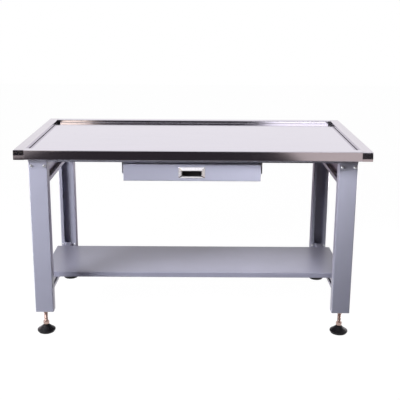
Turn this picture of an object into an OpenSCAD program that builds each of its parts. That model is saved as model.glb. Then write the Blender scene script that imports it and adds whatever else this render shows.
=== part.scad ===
// Work table with a sunken stainless steel top, a folded steel frame on four levelling feet,
// a half-depth shelf and one shallow drawer on ball runners.
// +X is to the right, +Y to the back and +Z up. The origin is on the floor, under the centre of the top.

/* [Table] */
// Width of the top, left to right
table_w = 1500; // [1300:10:1800]
// Depth of the top, front to back
table_d = 800; // [700:10:900]
// Height of the rim above the floor
table_h = 850; // [800:5:950]
// Distance from the edge of the top to the outer face of a leg
overhang = 50; // [30:5:70]

/* [Worktop] */
// Depth of the sunken work surface below the rim
tray_depth = 14; // [10:1:20]
// Thickness of the stainless sheet
skin_t = 1.5; // [1:0.1:2]
// Thickness of the board under the sheet
board_t = 25; // [18:1:30]
// Width of the front and rear rims
rim_w = 40; // [30:1:50]
// Width of the side rims
side_rim_w = 45; // [30:1:60]
// Width of the hem that is folded in under the board
hem_w = 12; // [8:1:16]
// Inner radius of the bends in the stainless sheet
skin_bend_r = 1.5; // [1:0.1:2.5]

/* [Legs] */
// Width of a leg, across the table
leg_w = 80; // [76:1:90]
// Depth of a leg, front to back
leg_d = 45; // [40:1:60]
// Width of the two lips that face the other leg of the same side
leg_lip = 16; // [16:1:22]
// Thickness of the folded steel of the legs and side rails
steel_t = 2; // [1.5:0.1:2.5]
// Inner radius of the bends in legs and side rails
bend_r = 2; // [1:0.1:3]
// Height of the lower end of the legs above the floor
leg_clear = 103; // [95:1:115]

/* [Beams] */
// Height of the long beams that the board lies on
beam_h = 20; // [16:1:25]
// Depth of the long beams, front to back
beam_d = 40; // [30:1:40]
// Wall thickness of the long beams
beam_t = 1.5; // [1:0.1:2]
// Height of the tabs that hang over the heads of the legs
tab_h = 29; // [26:1:40]
// Thickness of the tabs
tab_t = 2.5; // [2:0.1:3]

/* [Side rails] */
// Width of a side rail
rail_w = 28; // [26:1:38]
// Height of the upper side rails
upper_rail_h = 150; // [120:1:180]
// Height of the lower side rails
lower_rail_h = 56; // [50:1:70]
// Height of the lips of the side rails
rail_lip = 20; // [10:1:22]
// Thickness of the end plates of the side rails
plate_t = 4; // [3:0.5:6]
// Distance between the two bolts at the head of a leg
bolt_pitch = 54; // [50:1:58]
// Distance between the two bolts of a row in an end plate of a side rail
rail_bolt_pitch = 60; // [58:1:60]
// Distance from the edge of an end plate to the bolt row
bolt_edge = 8.5; // [8:0.5:10]

/* [Shelf] */
// Height of the deck of the shelf above the floor
shelf_h = 228; // [210:1:400]
// Depth of the shelf, front to back
shelf_d = 364; // [300:1:500]
// Height of the folded edge of the shelf
shelf_edge = 25; // [20:1:35]
// Thickness of the sheet of the shelf
shelf_t = 1.5; // [1:0.1:2]
// Width of the return flange below the long edges
shelf_return = 15; // [10:1:20]
// Distance from the end of the shelf to the outer face of the legs
shelf_end_gap = 3; // [0:1:10]

/* [Drawer] */
// Width of the drawer front
drawer_w = 582; // [460:1:640]
// Height of the drawer front
drawer_front_h = 72; // [64:1:80]
// Depth of the folded edges of the drawer front
drawer_front_t = 18; // [16:1:24]
// Length of the drawer box and of its runners
drawer_len = 480; // [400:10:520]
// Height of the sides of the drawer box
drawer_box_h = 62; // [56:1:62]
// Thickness of the drawer's sheet steel
drawer_t = 1.2; // [1:0.1:1.5]
// Sideways place of the drawer from the middle of the table
drawer_shift = -5; // [-40:1:40]
// How far the housing stands out past the drawer front at each side
housing_over = 7; // [6:1:12]
// Height of the sides of the housing
housing_h = 48.5; // [48.5:0.5:52]
// Gap between the beams and the top of the drawer front
drawer_gap = 4; // [3:0.5:6]
// Set-back of the drawer front from the edge of the top
drawer_setback = 30; // [28:1:40]

/* [Runners] */
// Height of a runner
runner_h = 45; // [45:1:46]
// Thickness of a whole runner, closed
runner_w = 12.7; // [12.7:0.1:13]
// Sheet thickness of the runner members
runner_t = 1.2; // [1.2:0.1:1.4]
// Height of the gap that the balls run in
ball_gap = 3; // [3:0.1:3.2]

/* [Handle] */
// Width of the handle's bezel
handle_w = 112; // [106:1:130]
// Height of the handle's bezel
handle_h = 47; // [42:1:52]
// How far the bezel stands out from the drawer front
handle_out = 7; // [6:1:14]
// Width of the finger opening
grip_w = 82; // [70:1:90]
// Height of the finger opening
grip_h = 21; // [18:1:24]
// Wall thickness of the handle
handle_t = 2; // [1.5:0.1:2.5]
// How far the middle of the finger opening lies below the middle of the bezel
grip_drop = 3; // [0:0.5:4]
// How far the middle of the finger opening lies below the middle of the drawer front
handle_drop = 2; // [0:1:6]
// Sideways place of the handle from the middle of the drawer front
handle_shift = -1.5; // [-5:0.5:5]

/* [Feet] */
// Diameter of the threaded stud
stud_d = 16; // [12:1:16]
// Width across flats of the nuts and of the hexagon on the stud
nut_af = 24; // [22:1:26]
// Diameter of the pad at its rim
pad_d = 80; // [72:1:90]
// Diameter of the sole where it meets the floor
sole_d = 68; // [50:1:68]
// Thickness of the rubber sole
sole_t = 5; // [4:0.5:7]
// Height of the top of the pad above the floor
pad_h = 34; // [32:1:38]
// Radius of the ball at the stud's lower end
ball_r = 8; // [7.5:0.1:8.5]

/* [Hidden] */
$fn = 48;

powder_grey = "#A6A7B8";
stainless = "#CFCBD1";
zinc = "#A89088";
bright_zinc = "#C9CACC";
chrome = "#E4E2E6";
rubber_black = "#0B0A10";
runner_grey = "#9A9CA0";
board_brown = "#B28A5E";

// Clearances between pieces of one body, and of shafts in their holes
seat_gap = 0.1;
hole_gap = 0.3;
screw_gap = 0.15;
thread_gap = 0.05;
cut = 1;

// Heights of the worktop, worked down from the rim
tray_floor_z = table_h - tray_depth;
board_top_z = tray_floor_z - skin_t;
board_z = board_top_z - board_t;
fascia_z = board_z - skin_t;
fascia_h = table_h - fascia_z;
beam_z = board_z - beam_h;

// Places of the legs
leg_x = table_w / 2 - overhang - leg_w / 2;
leg_y = table_d / 2 - overhang - leg_d / 2;
leg_h = beam_z - leg_clear;
lip_y = leg_y - leg_d / 2;

// Beams and their tabs
beam_len = 2 * leg_x + leg_w;
beam_y = leg_y + leg_d / 2 - beam_d / 2;
tab_w = leg_w - 2 * bend_r;

// Side rails, which run between the lips of the front and rear legs
rail_len = 2 * (lip_y - plate_t);
plate_w = leg_w - 2 * bend_r;
plate_top_gap = 0.5;
upper_rail_z = board_z - upper_rail_h;
upper_plate_top = beam_z - plate_top_gap;
shelf_z = shelf_h - shelf_edge;
lower_rail_z = shelf_z - lower_rail_h;

// Bolts of the frame: M8 with a domed head
bolt_r = 4;
bolt_head_r = 7;
bolt_head_h = 4.5;
bolt_nut_af = 13;
bolt_nut_h = 6.5;
bolt_end = 2;
head_bolt_z = beam_z - tab_h / 2 - 3;

// Bolts of the side rails: M6 with a domed head
rail_bolt_r = 3;
rail_bolt_head_r = 5.5;
rail_bolt_head_h = 3.3;
rail_nut_af = 10;
rail_nut_h = 5;

// Fixings of the worktop: 5 mm screws into the board
screw_r = 2.5;
screw_head_r = 4.8;
screw_head_h = 2.5;
screw_bite = 18;
beam_screw_end = 60;
beam_screw_pitch = 200;
beam_screw_x = [for (s = [-1, 1], x = [beam_screw_end, beam_screw_end + beam_screw_pitch]) s * (leg_x - x)];
rail_screw_y = 200;

// Shelf
shelf_w = 2 * leg_x + leg_w - 2 * shelf_end_gap;
shelf_foot_w = leg_w / 2 - shelf_end_gap + rail_w / 2;
stiffener_w = 50;
stiffener_h = shelf_edge - shelf_t - 3;
stiffener_len = shelf_w - 2 * shelf_foot_w - 8;
stiffener_pitch = shelf_d / 2;
shelf_bolt_y = shelf_d / 3;
shelf_bolt_r = 3;
shelf_nut_af = 10;
shelf_nut_h = 5;
shelf_bolt_end = 2;

// Drawer and its housing, placed from the beams down
drawer_front_z = beam_z - drawer_gap - drawer_front_h;
drawer_front_y = -table_d / 2 + drawer_setback;
box_y = drawer_front_y + drawer_front_t;
box_z = drawer_front_z + 3.5;
housing_w = drawer_w + 2 * housing_over;
housing_y = box_y + 2;
housing_behind = 20;
housing_len = drawer_len + housing_behind;
housing_z = beam_z - housing_h;
housing_in = housing_w / 2 - drawer_t;
housing_lip = 8;
box_w = 2 * (housing_in - runner_w);
front_return = 22;
front_screw_inset = 2;
front_screw_edge = 16;
front_screw_end = 4;
hanger_w = 60;
hanger_foot = 15;
hanger_y = housing_y + housing_len - hanger_w;
hanger_inset = 17;
hanger_len = housing_w - 2 * hanger_inset;

// Runners
runner_z = beam_z - drawer_t - 0.3 - runner_h / 2;
runner_y = box_y + 4;
runner_len = drawer_len - 4;
runner_side_gap = 0.5;
runner_reach = runner_w - 2.7;
middle_h = runner_h - 2 * runner_t - 2 * ball_gap;
inner_h = middle_h - 2 * runner_t - 2 * ball_gap;
race_ball_r = ball_gap / 2 - 0.2;
race_gap = 0.05;
cage_len = 64;
cage_start = 20;
cage_balls = 4;
rivet_r = 2;
rivet_head_r = 3.5;
rivet_head_h = 1.2;
rivet_front = 60;
rivet_rear = 40;
rivet_y = [rivet_front, runner_len / 2, runner_len - rivet_rear];

// Handle, near the middle of the drawer front
handle_x = drawer_shift + handle_shift;
handle_z = drawer_front_z + drawer_front_h / 2 - handle_drop;
cup_depth = 15;
cup_w = grip_w + 2 * handle_t;
cup_h = grip_h + 2 * handle_t + 4;
handle_screw_x = (handle_w + grip_w) / 4;
handle_screw_r = 1.6;
handle_screw_head_r = 3;
handle_screw_head_h = 1.6;

// Feet
plate_h = 5;
weld_nut_h = 11;
lock_nut_h = 8;
stud_above = 52;
hex_z = pad_h + 4;
hex_h = 13;
neck_r = 5;
ball_z = pad_h - 10;
socket_gap = 0.08;
mouth_r = 7;
pad_rim_z = 8;
pad_rim_h = 4;
pad_neck_r = 13;

// Flat outline of a rectangle with round corners, with its middle at the origin
module round_rect(w, h, r) {
    square([w - 2 * r, h], center = true);
    square([w, h - 2 * r], center = true);
    for (x = [-1, 1], y = [-1, 1])
        translate([x * (w / 2 - r), y * (h / 2 - r)]) circle(r);
}

// Section of a channel folded from sheet, w wide and d deep, with two lips on its +Y side
module lipped_channel(w, d, lip, t, r) {
    difference() {
        round_rect(w, d, r + t);
        round_rect(w - 2 * t, d - 2 * t, r);
        translate([-w / 2 + lip, 0]) square([w - 2 * lip, d]);
    }
}

// Section of a folded rim: a top, a skirt on the -X side with a hem below, and an inner wall
module rim_section(w, h, wall_h, hem, t, r) {
    difference() {
        translate([w / 2, h / 2]) round_rect(w, h, r + t);
        translate([w / 2, h / 2]) round_rect(w - 2 * t, h - 2 * t, r);
        translate([t + hem, -cut]) square([w, h - wall_h + cut]);
        translate([t + r, t]) square([w, h - wall_h - t]);
    }
}

// Solid of a flat section drawn in the YZ plane, from x = -len / 2 to len / 2
module along_x(len) {
    rotate([90, 0, 90]) translate([0, 0, -len / 2]) linear_extrude(len) children();
}

// Solid of a flat section drawn in the XZ plane, from y = -len / 2 to len / 2
module along_y(len) {
    rotate([90, 0, 0]) translate([0, 0, -len / 2]) linear_extrude(len) children();
}

// Box from one corner to the other
module slab(a, b) {
    translate(a) cube(b - a);
}

// Bolt with a domed head: the head stands on z = 0 and the shank points down
module dome_bolt(r, head_r, head_h, len) {
    cap_r = (head_r * head_r + head_h * head_h) / (2 * head_h);
    rotate_extrude() intersection() {
        translate([0, head_h - cap_r]) circle(cap_r, $fn = 96);
        square([head_r, head_h]);
    }
    translate([0, 0, -len]) cylinder(r = r, h = len);
}

// Screw with a low flat head: the head stands on z = 0 and the shank points down
module flat_screw(r, head_r, head_h, len) {
    cylinder(r1 = head_r, r2 = head_r - head_h / 3, h = head_h);
    translate([0, 0, -len]) cylinder(r = r, h = len);
}

// Hexagon of a given width across its flats, standing on z = 0
module hexagon(af, h) {
    cylinder(r = af / sqrt(3), h = h, $fn = 6);
}

module hex_nut(af, h, bore_r) {
    difference() {
        hexagon(af, h);
        translate([0, 0, -cut]) cylinder(r = bore_r, h = h + 2 * cut);
    }
}

// Holes across the sheet along the Y axis, at a list of [x, z]
module holes_y(places, r, y, len) {
    for (p = places)
        translate([p[0], y + len / 2, p[1]]) rotate([90, 0, 0]) cylinder(r = r, h = len);
}

// Places of the bolts in the end plates of one side rail, from its middle in x
function plate_bolts(low_z, high_z) =
    [for (x = [-1, 1], z = [low_z + bolt_edge, high_z - bolt_edge]) [x * rail_bolt_pitch / 2, z]];
upper_bolts = plate_bolts(upper_rail_z, upper_plate_top);
lower_bolts = plate_bolts(lower_rail_z, shelf_z);
head_bolts = [for (x = [-1, 1]) [x * bolt_pitch / 2, head_bolt_z]];

// Puts its children at each leg, mirrored so that +Y points to the table's outside
module at_each_leg() {
    for (sx = [-1, 1], sy = [-1, 1]) at_leg(sx, sy) children();
}
module at_leg(sx, sy) {
    translate([sx * leg_x, sy * leg_y, 0])
        mirror([sx < 0 ? 1 : 0, 0, 0]) mirror([0, sy < 0 ? 1 : 0, 0]) children();
}

// Stainless tray: work surface, four walls, and the front and rear rims with their fascias
module worktop_tray() {
    wall_x = table_w / 2 - side_rim_w;
    color(stainless) {
        slab([-wall_x, -table_d / 2 + rim_w - skin_t, board_top_z],
             [wall_x, table_d / 2 - rim_w + skin_t, tray_floor_z]);
        for (s = [0, 1]) mirror([0, s, 0])
            translate([0, -table_d / 2, fascia_z]) along_x(2 * wall_x)
                rim_section(rim_w, fascia_h, tray_depth + skin_t, hem_w, skin_t, skin_bend_r);
        for (s = [0, 1]) mirror([s, 0, 0])
            slab([wall_x - skin_t, -table_d / 2 + rim_w - skin_t, board_top_z],
                 [wall_x, table_d / 2 - rim_w + skin_t, table_h]);
    }
}

// Stainless side rim: a folded strip with closed ends, welded along the wall of the tray
module side_rim() {
    color(stainless) translate([-table_w / 2, 0, fascia_z]) {
        along_y(table_d) rim_section(2 * side_rim_w, fascia_h, 0, hem_w, skin_t, skin_bend_r);
    }
}
module side_rim_piece(side) {
    wall_x = table_w / 2 - side_rim_w;
    mirror([side > 0 ? 1 : 0, 0, 0]) {
        intersection() {
            side_rim();
            slab([-table_w, -table_d, 0], [-wall_x, table_d, 2 * table_h]);
        }
        color(stainless) for (s = [0, 1]) mirror([0, s, 0])
            translate([-table_w / 2, -table_d / 2 + skin_t, fascia_z]) rotate([90, 0, 0])
                linear_extrude(skin_t) intersection() {
                    translate([side_rim_w, fascia_h / 2])
                        round_rect(2 * side_rim_w, fascia_h, skin_bend_r + skin_t);
                    square([side_rim_w, fascia_h]);
                }
    }
}

// Board of pressed wood that fills the top between the sheet and the hems
module worktop_board() {
    x = table_w / 2 - skin_t - skin_bend_r;
    y = table_d / 2 - skin_t - skin_bend_r;
    color(board_brown) difference() {
        slab([-x, -y, board_z], [x, y, board_top_z]);
        for (s = [-1, 1]) {
            for (x = beam_screw_x) screw_hole(x, s * beam_y);
            for (y = [-1, 1]) screw_hole(s * leg_x, y * rail_screw_y);
            for (y = [-1, 1])
                screw_hole(drawer_shift + s * hanger_len / 3, hanger_y + y * (hanger_w - hanger_foot) / 2);
        }
    }
}
module screw_hole(x, y) {
    translate([x, y, board_z - cut])
        cylinder(r = screw_r + screw_gap, h = screw_bite + cut + hole_gap);
}

// Long beam: a flat rectangular tube with a tab at each end that hangs over the leg's head
module long_beam(sy) {
    face_y = leg_y + leg_d / 2;
    color(powder_grey) mirror([0, sy < 0 ? 1 : 0, 0]) difference() {
        union() {
            translate([0, beam_y, beam_z + beam_h / 2]) along_x(beam_len) difference() {
                round_rect(beam_d, beam_h, beam_t + 1);
                round_rect(beam_d - 2 * beam_t, beam_h - 2 * beam_t, 1);
            }
            for (s = [-1, 1])
                slab([s * leg_x - tab_w / 2, face_y, beam_z - tab_h],
                     [s * leg_x + tab_w / 2, face_y + tab_t, beam_z + beam_h / 2]);
        }
        for (s = [-1, 1]) translate([s * leg_x, 0, 0])
            holes_y(head_bolts, bolt_r + hole_gap, face_y, 2 * tab_t + 2 * cut);
        for (x = beam_screw_x) translate([x, beam_y, beam_z - cut])
            cylinder(r = screw_r + hole_gap, h = beam_h + 2 * cut);
        if (sy < 0) for (s = [-1, 1])
            translate([drawer_shift + s * housing_w / 2.5, beam_y, beam_z - cut])
                cylinder(r = screw_r + screw_gap, h = beam_h / 2 + cut);
    }
}

// Leg: a lipped channel whose flat web is the outer face and whose lips face the other leg
module leg(sx, sy) {
    color(powder_grey) at_leg(sx, sy) difference() {
        translate([0, 0, leg_clear]) linear_extrude(leg_h)
            mirror([0, 1, 0]) lipped_channel(leg_w, leg_d, leg_lip, steel_t, bend_r);
        holes_y(head_bolts, bolt_r + hole_gap, leg_d / 2, 2 * (steel_t + cut));
        holes_y(concat(upper_bolts, lower_bolts), rail_bolt_r + hole_gap, -leg_d / 2, 2 * (steel_t + cut));
    }
}

// Plates welded into the lower ends of the legs, which carry the feet
module leg_foot_plates() {
    color(powder_grey) at_each_leg() translate([0, 0, leg_clear]) difference() {
        linear_extrude(plate_h) round_rect(leg_w - 2 * (steel_t + seat_gap),
                                           leg_d - 2 * (steel_t + seat_gap), bend_r);
        translate([0, 0, -cut]) cylinder(d = stud_d + 2 * hole_gap, h = plate_h + 2 * cut);
    }
}
module foot_weld_nuts() {
    color(zinc) at_each_leg() translate([0, 0, leg_clear + plate_h])
        hex_nut(nut_af, weld_nut_h, stud_d / 2 + thread_gap);
}
module foot_lock_nuts() {
    color(zinc) at_each_leg() translate([0, 0, leg_clear - lock_nut_h])
        hex_nut(nut_af, lock_nut_h, stud_d / 2 + thread_gap);
}

// Side rail: a lipped channel open to the inside, with a bolted plate at each end
module side_rail(side, low_z, high_z, plate_top_z, bolts) {
    color(powder_grey) mirror([side < 0 ? 1 : 0, 0, 0]) translate([leg_x, 0, 0]) {
        difference() {
            union() {
                translate([0, 0, (low_z + high_z) / 2]) along_y(rail_len) rotate(90)
                    lipped_channel(high_z - low_z, rail_w, rail_lip, steel_t, bend_r);
                for (s = [-1, 1])
                    translate([-plate_w / 2, s * (lip_y - plate_t / 2) - plate_t / 2, low_z])
                        cube([plate_w, plate_t, plate_top_z - low_z]);
            }
            for (s = [-1, 1])
                holes_y(bolts, rail_bolt_r + hole_gap, s * (lip_y - plate_t / 2), plate_t + 2 * cut);
            if (high_z == board_z) for (s = [-1, 1])
                translate([0, s * rail_screw_y, high_z - steel_t - cut])
                    cylinder(r = screw_r + hole_gap, h = steel_t + 2 * cut);
            if (high_z == shelf_z) for (s = [-1, 1])
                translate([0, s * shelf_bolt_y, high_z - steel_t - cut])
                    cylinder(r = shelf_bolt_r + hole_gap, h = steel_t + 2 * cut);
        }
    }
}

// Domed bolts through the beams' tabs and the webs of the legs, with nuts inside the legs
module leg_head_bolts() {
    color(bright_zinc) at_each_leg() for (p = head_bolts)
        translate([p[0], leg_d / 2 + tab_t, p[1]]) rotate([-90, 0, 0])
            dome_bolt(bolt_r, bolt_head_r, bolt_head_h, tab_t + steel_t + bolt_nut_h + bolt_end);
}
module leg_head_nuts() {
    color(bright_zinc) at_each_leg() for (p = head_bolts)
        translate([p[0], leg_d / 2 - steel_t, p[1]]) rotate([90, 0, 0])
            hex_nut(bolt_nut_af, bolt_nut_h, bolt_r + thread_gap);
}

// Domed bolts through the rails' end plates and the lips of the legs
module side_rail_bolts() {
    color(bright_zinc) at_each_leg() for (p = concat(upper_bolts, lower_bolts))
        translate([p[0], -leg_d / 2 - plate_t, p[1]]) rotate([90, 0, 0])
            dome_bolt(rail_bolt_r, rail_bolt_head_r, rail_bolt_head_h,
                      plate_t + steel_t + rail_nut_h + bolt_end);
}
module side_rail_nuts() {
    color(bright_zinc) at_each_leg() for (p = concat(upper_bolts, lower_bolts))
        translate([p[0], -leg_d / 2 + steel_t, p[1]]) rotate([-90, 0, 0])
            hex_nut(rail_nut_af, rail_nut_h, rail_bolt_r + thread_gap);
}

// Screws from below through the beams, the upper rails and the hanger into the board
module worktop_screws() {
    color(bright_zinc) for (s = [-1, 1]) {
        for (x = beam_screw_x) board_screw(x, s * beam_y, beam_h);
        for (y = [-1, 1]) board_screw(s * leg_x, y * rail_screw_y, steel_t);
        for (y = [-1, 1])
            board_screw(drawer_shift + s * hanger_len / 3,
                        hanger_y + y * (hanger_w - hanger_foot) / 2, drawer_t);
    }
}
module board_screw(x, y, grip) {
    translate([x, y, board_z - grip]) mirror([0, 0, 1])
        flat_screw(screw_r, screw_head_r, screw_head_h, grip + screw_bite);
}

// Shelf: a pan folded down at all four edges, with a wide return at each end for its bolts
module shelf_pan() {
    color(powder_grey) difference() {
        union() {
            translate([0, 0, shelf_z + shelf_edge / 2]) along_x(shelf_w)
                mirror([0, 1, 0]) lipped_channel(shelf_d, shelf_edge, shelf_return, shelf_t, bend_r);
            for (s = [-1, 1]) {
                translate([s * (shelf_w - shelf_t) / 2, 0, shelf_z + shelf_edge / 2])
                    along_x(shelf_t) round_rect(shelf_d, shelf_edge, bend_r + shelf_t);
                translate([s * (shelf_w - shelf_foot_w) / 2, 0, shelf_z + shelf_t / 2])
                    cube([shelf_foot_w, shelf_d - 2 * (bend_r + shelf_t), shelf_t], center = true);
            }
        }
        for (x = [-1, 1], y = [-1, 1]) translate([x * leg_x, y * shelf_bolt_y, shelf_z - cut])
            cylinder(r = shelf_bolt_r + hole_gap, h = shelf_t + 2 * cut);
    }
}

// Hat sections spot-welded under the deck of the shelf
module shelf_stiffeners() {
    color(powder_grey) for (s = [-1, 1])
        translate([0, s * stiffener_pitch / 2, shelf_h - shelf_t - stiffener_h])
            along_x(stiffener_len) hat_section(stiffener_w, stiffener_h, 12, shelf_t);
}
// Section of a hat: a web below, two sides and two feet that point outwards at the top
module hat_section(w, h, foot, t) {
    in_w = w - 2 * foot;
    translate([-in_w / 2, 0]) square([in_w, t]);
    for (s = [0, 1]) mirror([s, 0]) {
        translate([in_w / 2 - t, 0]) square([t, h]);
        translate([in_w / 2 - t, h - t]) square([foot + t, t]);
    }
}

// Bolts from the shelf's returns down through the lower rails, with nuts inside the rails
module shelf_bolts() {
    color(bright_zinc) for (x = [-1, 1], y = [-1, 1])
        translate([x * leg_x, y * shelf_bolt_y, shelf_z + shelf_t])
            dome_bolt(shelf_bolt_r, 2 * shelf_bolt_r, shelf_bolt_r,
                      shelf_t + steel_t + shelf_nut_h + shelf_bolt_end);
}
module shelf_nuts() {
    color(bright_zinc) for (x = [-1, 1], y = [-1, 1])
        translate([x * leg_x, y * shelf_bolt_y, shelf_z - steel_t - shelf_nut_h])
            hex_nut(shelf_nut_af, shelf_nut_h, shelf_bolt_r + thread_gap);
}

// Puts its children at the drawer's left or right, with +X pointing away from the drawer
module drawer_side(side) {
    translate([drawer_shift, 0, 0]) mirror([side < 0 ? 1 : 0, 0, 0]) children();
}

// Housing: an inverted channel under the beams that the outer runners are riveted to
module drawer_housing() {
    y1 = housing_y + housing_len;
    color(powder_grey) translate([drawer_shift, 0, 0]) difference() {
        union() {
            slab([-housing_w / 2, housing_y, beam_z - drawer_t], [housing_w / 2, y1, beam_z]);
            for (s = [0, 1]) mirror([s, 0, 0]) {
                slab([housing_in, housing_y, housing_z], [housing_w / 2, y1, beam_z]);
                slab([housing_w / 2 - housing_lip, housing_y, housing_z],
                     [housing_w / 2, y1, housing_z + drawer_t]);
            }
        }
        for (s = [-1, 1]) {
            translate([s * housing_w / 2.5, -beam_y, beam_z - drawer_t - cut])
                cylinder(r = screw_r + hole_gap, h = drawer_t + 2 * cut);
            translate([s * housing_w / 4, hanger_y, beam_z - drawer_t - cut])
                cylinder(r = screw_r + hole_gap, h = drawer_t + 2 * cut);
            for (y = rivet_y) translate([s * housing_in, runner_y + y, runner_z])
                rotate([0, 90, 0]) cylinder(r = rivet_r + screw_gap, h = 4 * drawer_t, center = true);
        }
    }
}

// Hanger: a hat section between the board and the rear of the housing
module drawer_hanger() {
    color(powder_grey) translate([drawer_shift, hanger_y, beam_z]) difference() {
        along_x(hanger_len) hat_section(hanger_w, beam_h, hanger_foot, drawer_t);
        for (s = [-1, 1]) {
            for (y = [-1, 1]) translate([s * hanger_len / 3, y * (hanger_w - hanger_foot) / 2, beam_h / 2])
                cylinder(r = screw_r + hole_gap, h = beam_h);
            translate([s * housing_w / 4, 0, -cut]) cylinder(r = screw_r + screw_gap, h = 2 * cut + drawer_t);
        }
    }
}

// Screws from inside the housing up into the front beam and the hanger
module housing_screws() {
    grip = drawer_t + 6;
    color(bright_zinc) translate([drawer_shift, 0, beam_z - drawer_t]) mirror([0, 0, 1]) for (s = [-1, 1]) {
        translate([s * housing_w / 2.5, -beam_y, 0]) flat_screw(screw_r, screw_head_r, screw_head_h, grip);
        translate([s * housing_w / 4, hanger_y, 0]) flat_screw(screw_r, screw_head_r, screw_head_h, grip);
    }
}

// Section of a runner member: a web and two flanges that point to -X
module runner_section(h, reach, t) {
    difference() {
        translate([-reach, -h / 2]) square([reach, h]);
        translate([-reach - cut, t - h / 2]) square([reach + cut - t, h - 2 * t]);
    }
}

// Solid of a runner member, its web's outer face at a given distance inside the housing's wall
module runner_member(side, inset, h, reach, open_out) {
    drawer_side(side) difference() {
        translate([housing_in - inset, runner_y + runner_len / 2, runner_z]) along_y(runner_len)
            mirror([open_out ? 1 : 0, 0]) runner_section(h, reach, runner_t);
        if (inset == 0 || open_out) for (y = rivet_y)
            translate([housing_in - inset, runner_y + y, runner_z]) rotate([0, 90, 0])
                cylinder(r = rivet_r + screw_gap, h = 4 * runner_t, center = true);
    }
}
module runner_outer(side) {
    color(runner_grey) runner_member(side, 0, runner_h, runner_reach, false);
}
module runner_middle(side) {
    color(runner_grey)
        runner_member(side, runner_t + runner_side_gap, middle_h, runner_reach - runner_side_gap, false);
}
module runner_inner(side) {
    color(runner_grey) runner_member(side, runner_w, inner_h, runner_w - 4, true);
}

// Cages with the balls that roll on the middle member: one pair outside it and one inside
module ball_cage(x, y, z) {
    translate([x, y, z]) {
        translate([-1.3, 0, -0.7]) cube([2.6, cage_len, 1.4]);
        for (i = [0 : cage_balls - 1])
            translate([0, cage_len * (i + 0.5) / cage_balls, 0]) sphere(race_ball_r, $fn = 24);
    }
}
module runner_cages(side) {
    outer_z = middle_h / 2 + race_gap + race_ball_r;
    inner_z = middle_h / 2 - runner_t - race_gap - race_ball_r;
    color(bright_zinc) for (s = [-1, 1]) drawer_side(side) {
        ball_cage(housing_in - runner_w / 2, runner_y + runner_len / 2 + cage_start, runner_z + s * outer_z);
        ball_cage(housing_in - runner_w * 0.6, runner_y + cage_start, runner_z + s * inner_z);
    }
}

// Rivets with their heads outside the housing, and inside the drawer box
module runner_outer_rivets() {
    color(bright_zinc) for (side = [-1, 1]) drawer_side(side) for (y = rivet_y)
        translate([housing_w / 2, runner_y + y, runner_z]) rotate([0, 90, 0])
            dome_bolt(rivet_r, rivet_head_r, rivet_head_h, drawer_t + runner_t);
}
module runner_inner_rivets() {
    color(bright_zinc) for (side = [-1, 1]) drawer_side(side) for (y = rivet_y)
        translate([box_w / 2 - drawer_t, runner_y + y, runner_z]) rotate([0, -90, 0])
            dome_bolt(rivet_r, rivet_head_r, rivet_head_h, drawer_t + runner_t);
}

// Drawer box: a folded tray open at the top
module drawer_box() {
    w = box_w / 2;
    y1 = box_y + drawer_len;
    color(powder_grey) translate([drawer_shift, 0, 0]) difference() {
        slab([-w, box_y, box_z], [w, y1, box_z + drawer_box_h]);
        slab([-w + drawer_t, box_y + drawer_t, box_z + drawer_t],
             [w - drawer_t, y1 - drawer_t, box_z + drawer_box_h + cut]);
        for (s = [-1, 1]) {
            for (y = rivet_y) translate([s * w, runner_y + y, runner_z])
                rotate([0, 90, 0]) cylinder(r = rivet_r + screw_gap, h = 4 * drawer_t, center = true);
            holes_y(front_screws, handle_screw_r + hole_gap, box_y, 4 * drawer_t);
        }
    }
}
front_screws = [for (x = [-1, 1], z = [box_z + front_screw_edge, box_z + drawer_box_h - front_screw_edge])
    [x * (drawer_w / 2 - front_return / 2 - front_screw_inset), z]];

// Drawer front: a face sheet with edges folded back, and the cut-out for the handle's cup
module drawer_front() {
    z1 = drawer_front_z + drawer_front_h;
    cx = cup_w / 2 + seat_gap;
    cz = cup_h / 2 + seat_gap;
    color(powder_grey) translate([drawer_shift, 0, 0]) difference() {
        union() {
            translate([0, drawer_front_y + drawer_front_t / 2, drawer_front_z]) linear_extrude(drawer_front_h)
                lipped_channel(drawer_w, drawer_front_t, front_return, drawer_t, bend_r);
            for (z = [drawer_front_z, z1 - drawer_t])
                translate([0, drawer_front_y + drawer_front_t / 2, z]) linear_extrude(drawer_t)
                    round_rect(drawer_w, drawer_front_t, bend_r + drawer_t);
        }
        slab([handle_shift - cx, drawer_front_y - cut, handle_z - cz],
             [handle_shift + cx, drawer_front_y + 2 * drawer_t, handle_z + cz]);
        holes_y(front_screws, handle_screw_r + screw_gap, box_y, 4 * drawer_t);
        holes_y([for (s = [-1, 1]) [handle_shift + s * handle_screw_x, handle_z]],
                handle_screw_r + screw_gap, drawer_front_y, 4 * drawer_t);
    }
}
module drawer_front_screws() {
    color(bright_zinc) translate([drawer_shift, 0, 0]) for (p = front_screws)
        translate([p[0], box_y + drawer_t, p[1]]) rotate([-90, 0, 0])
            flat_screw(handle_screw_r, handle_screw_head_r, handle_screw_head_h, 2 * drawer_t + front_screw_end);
}

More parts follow.
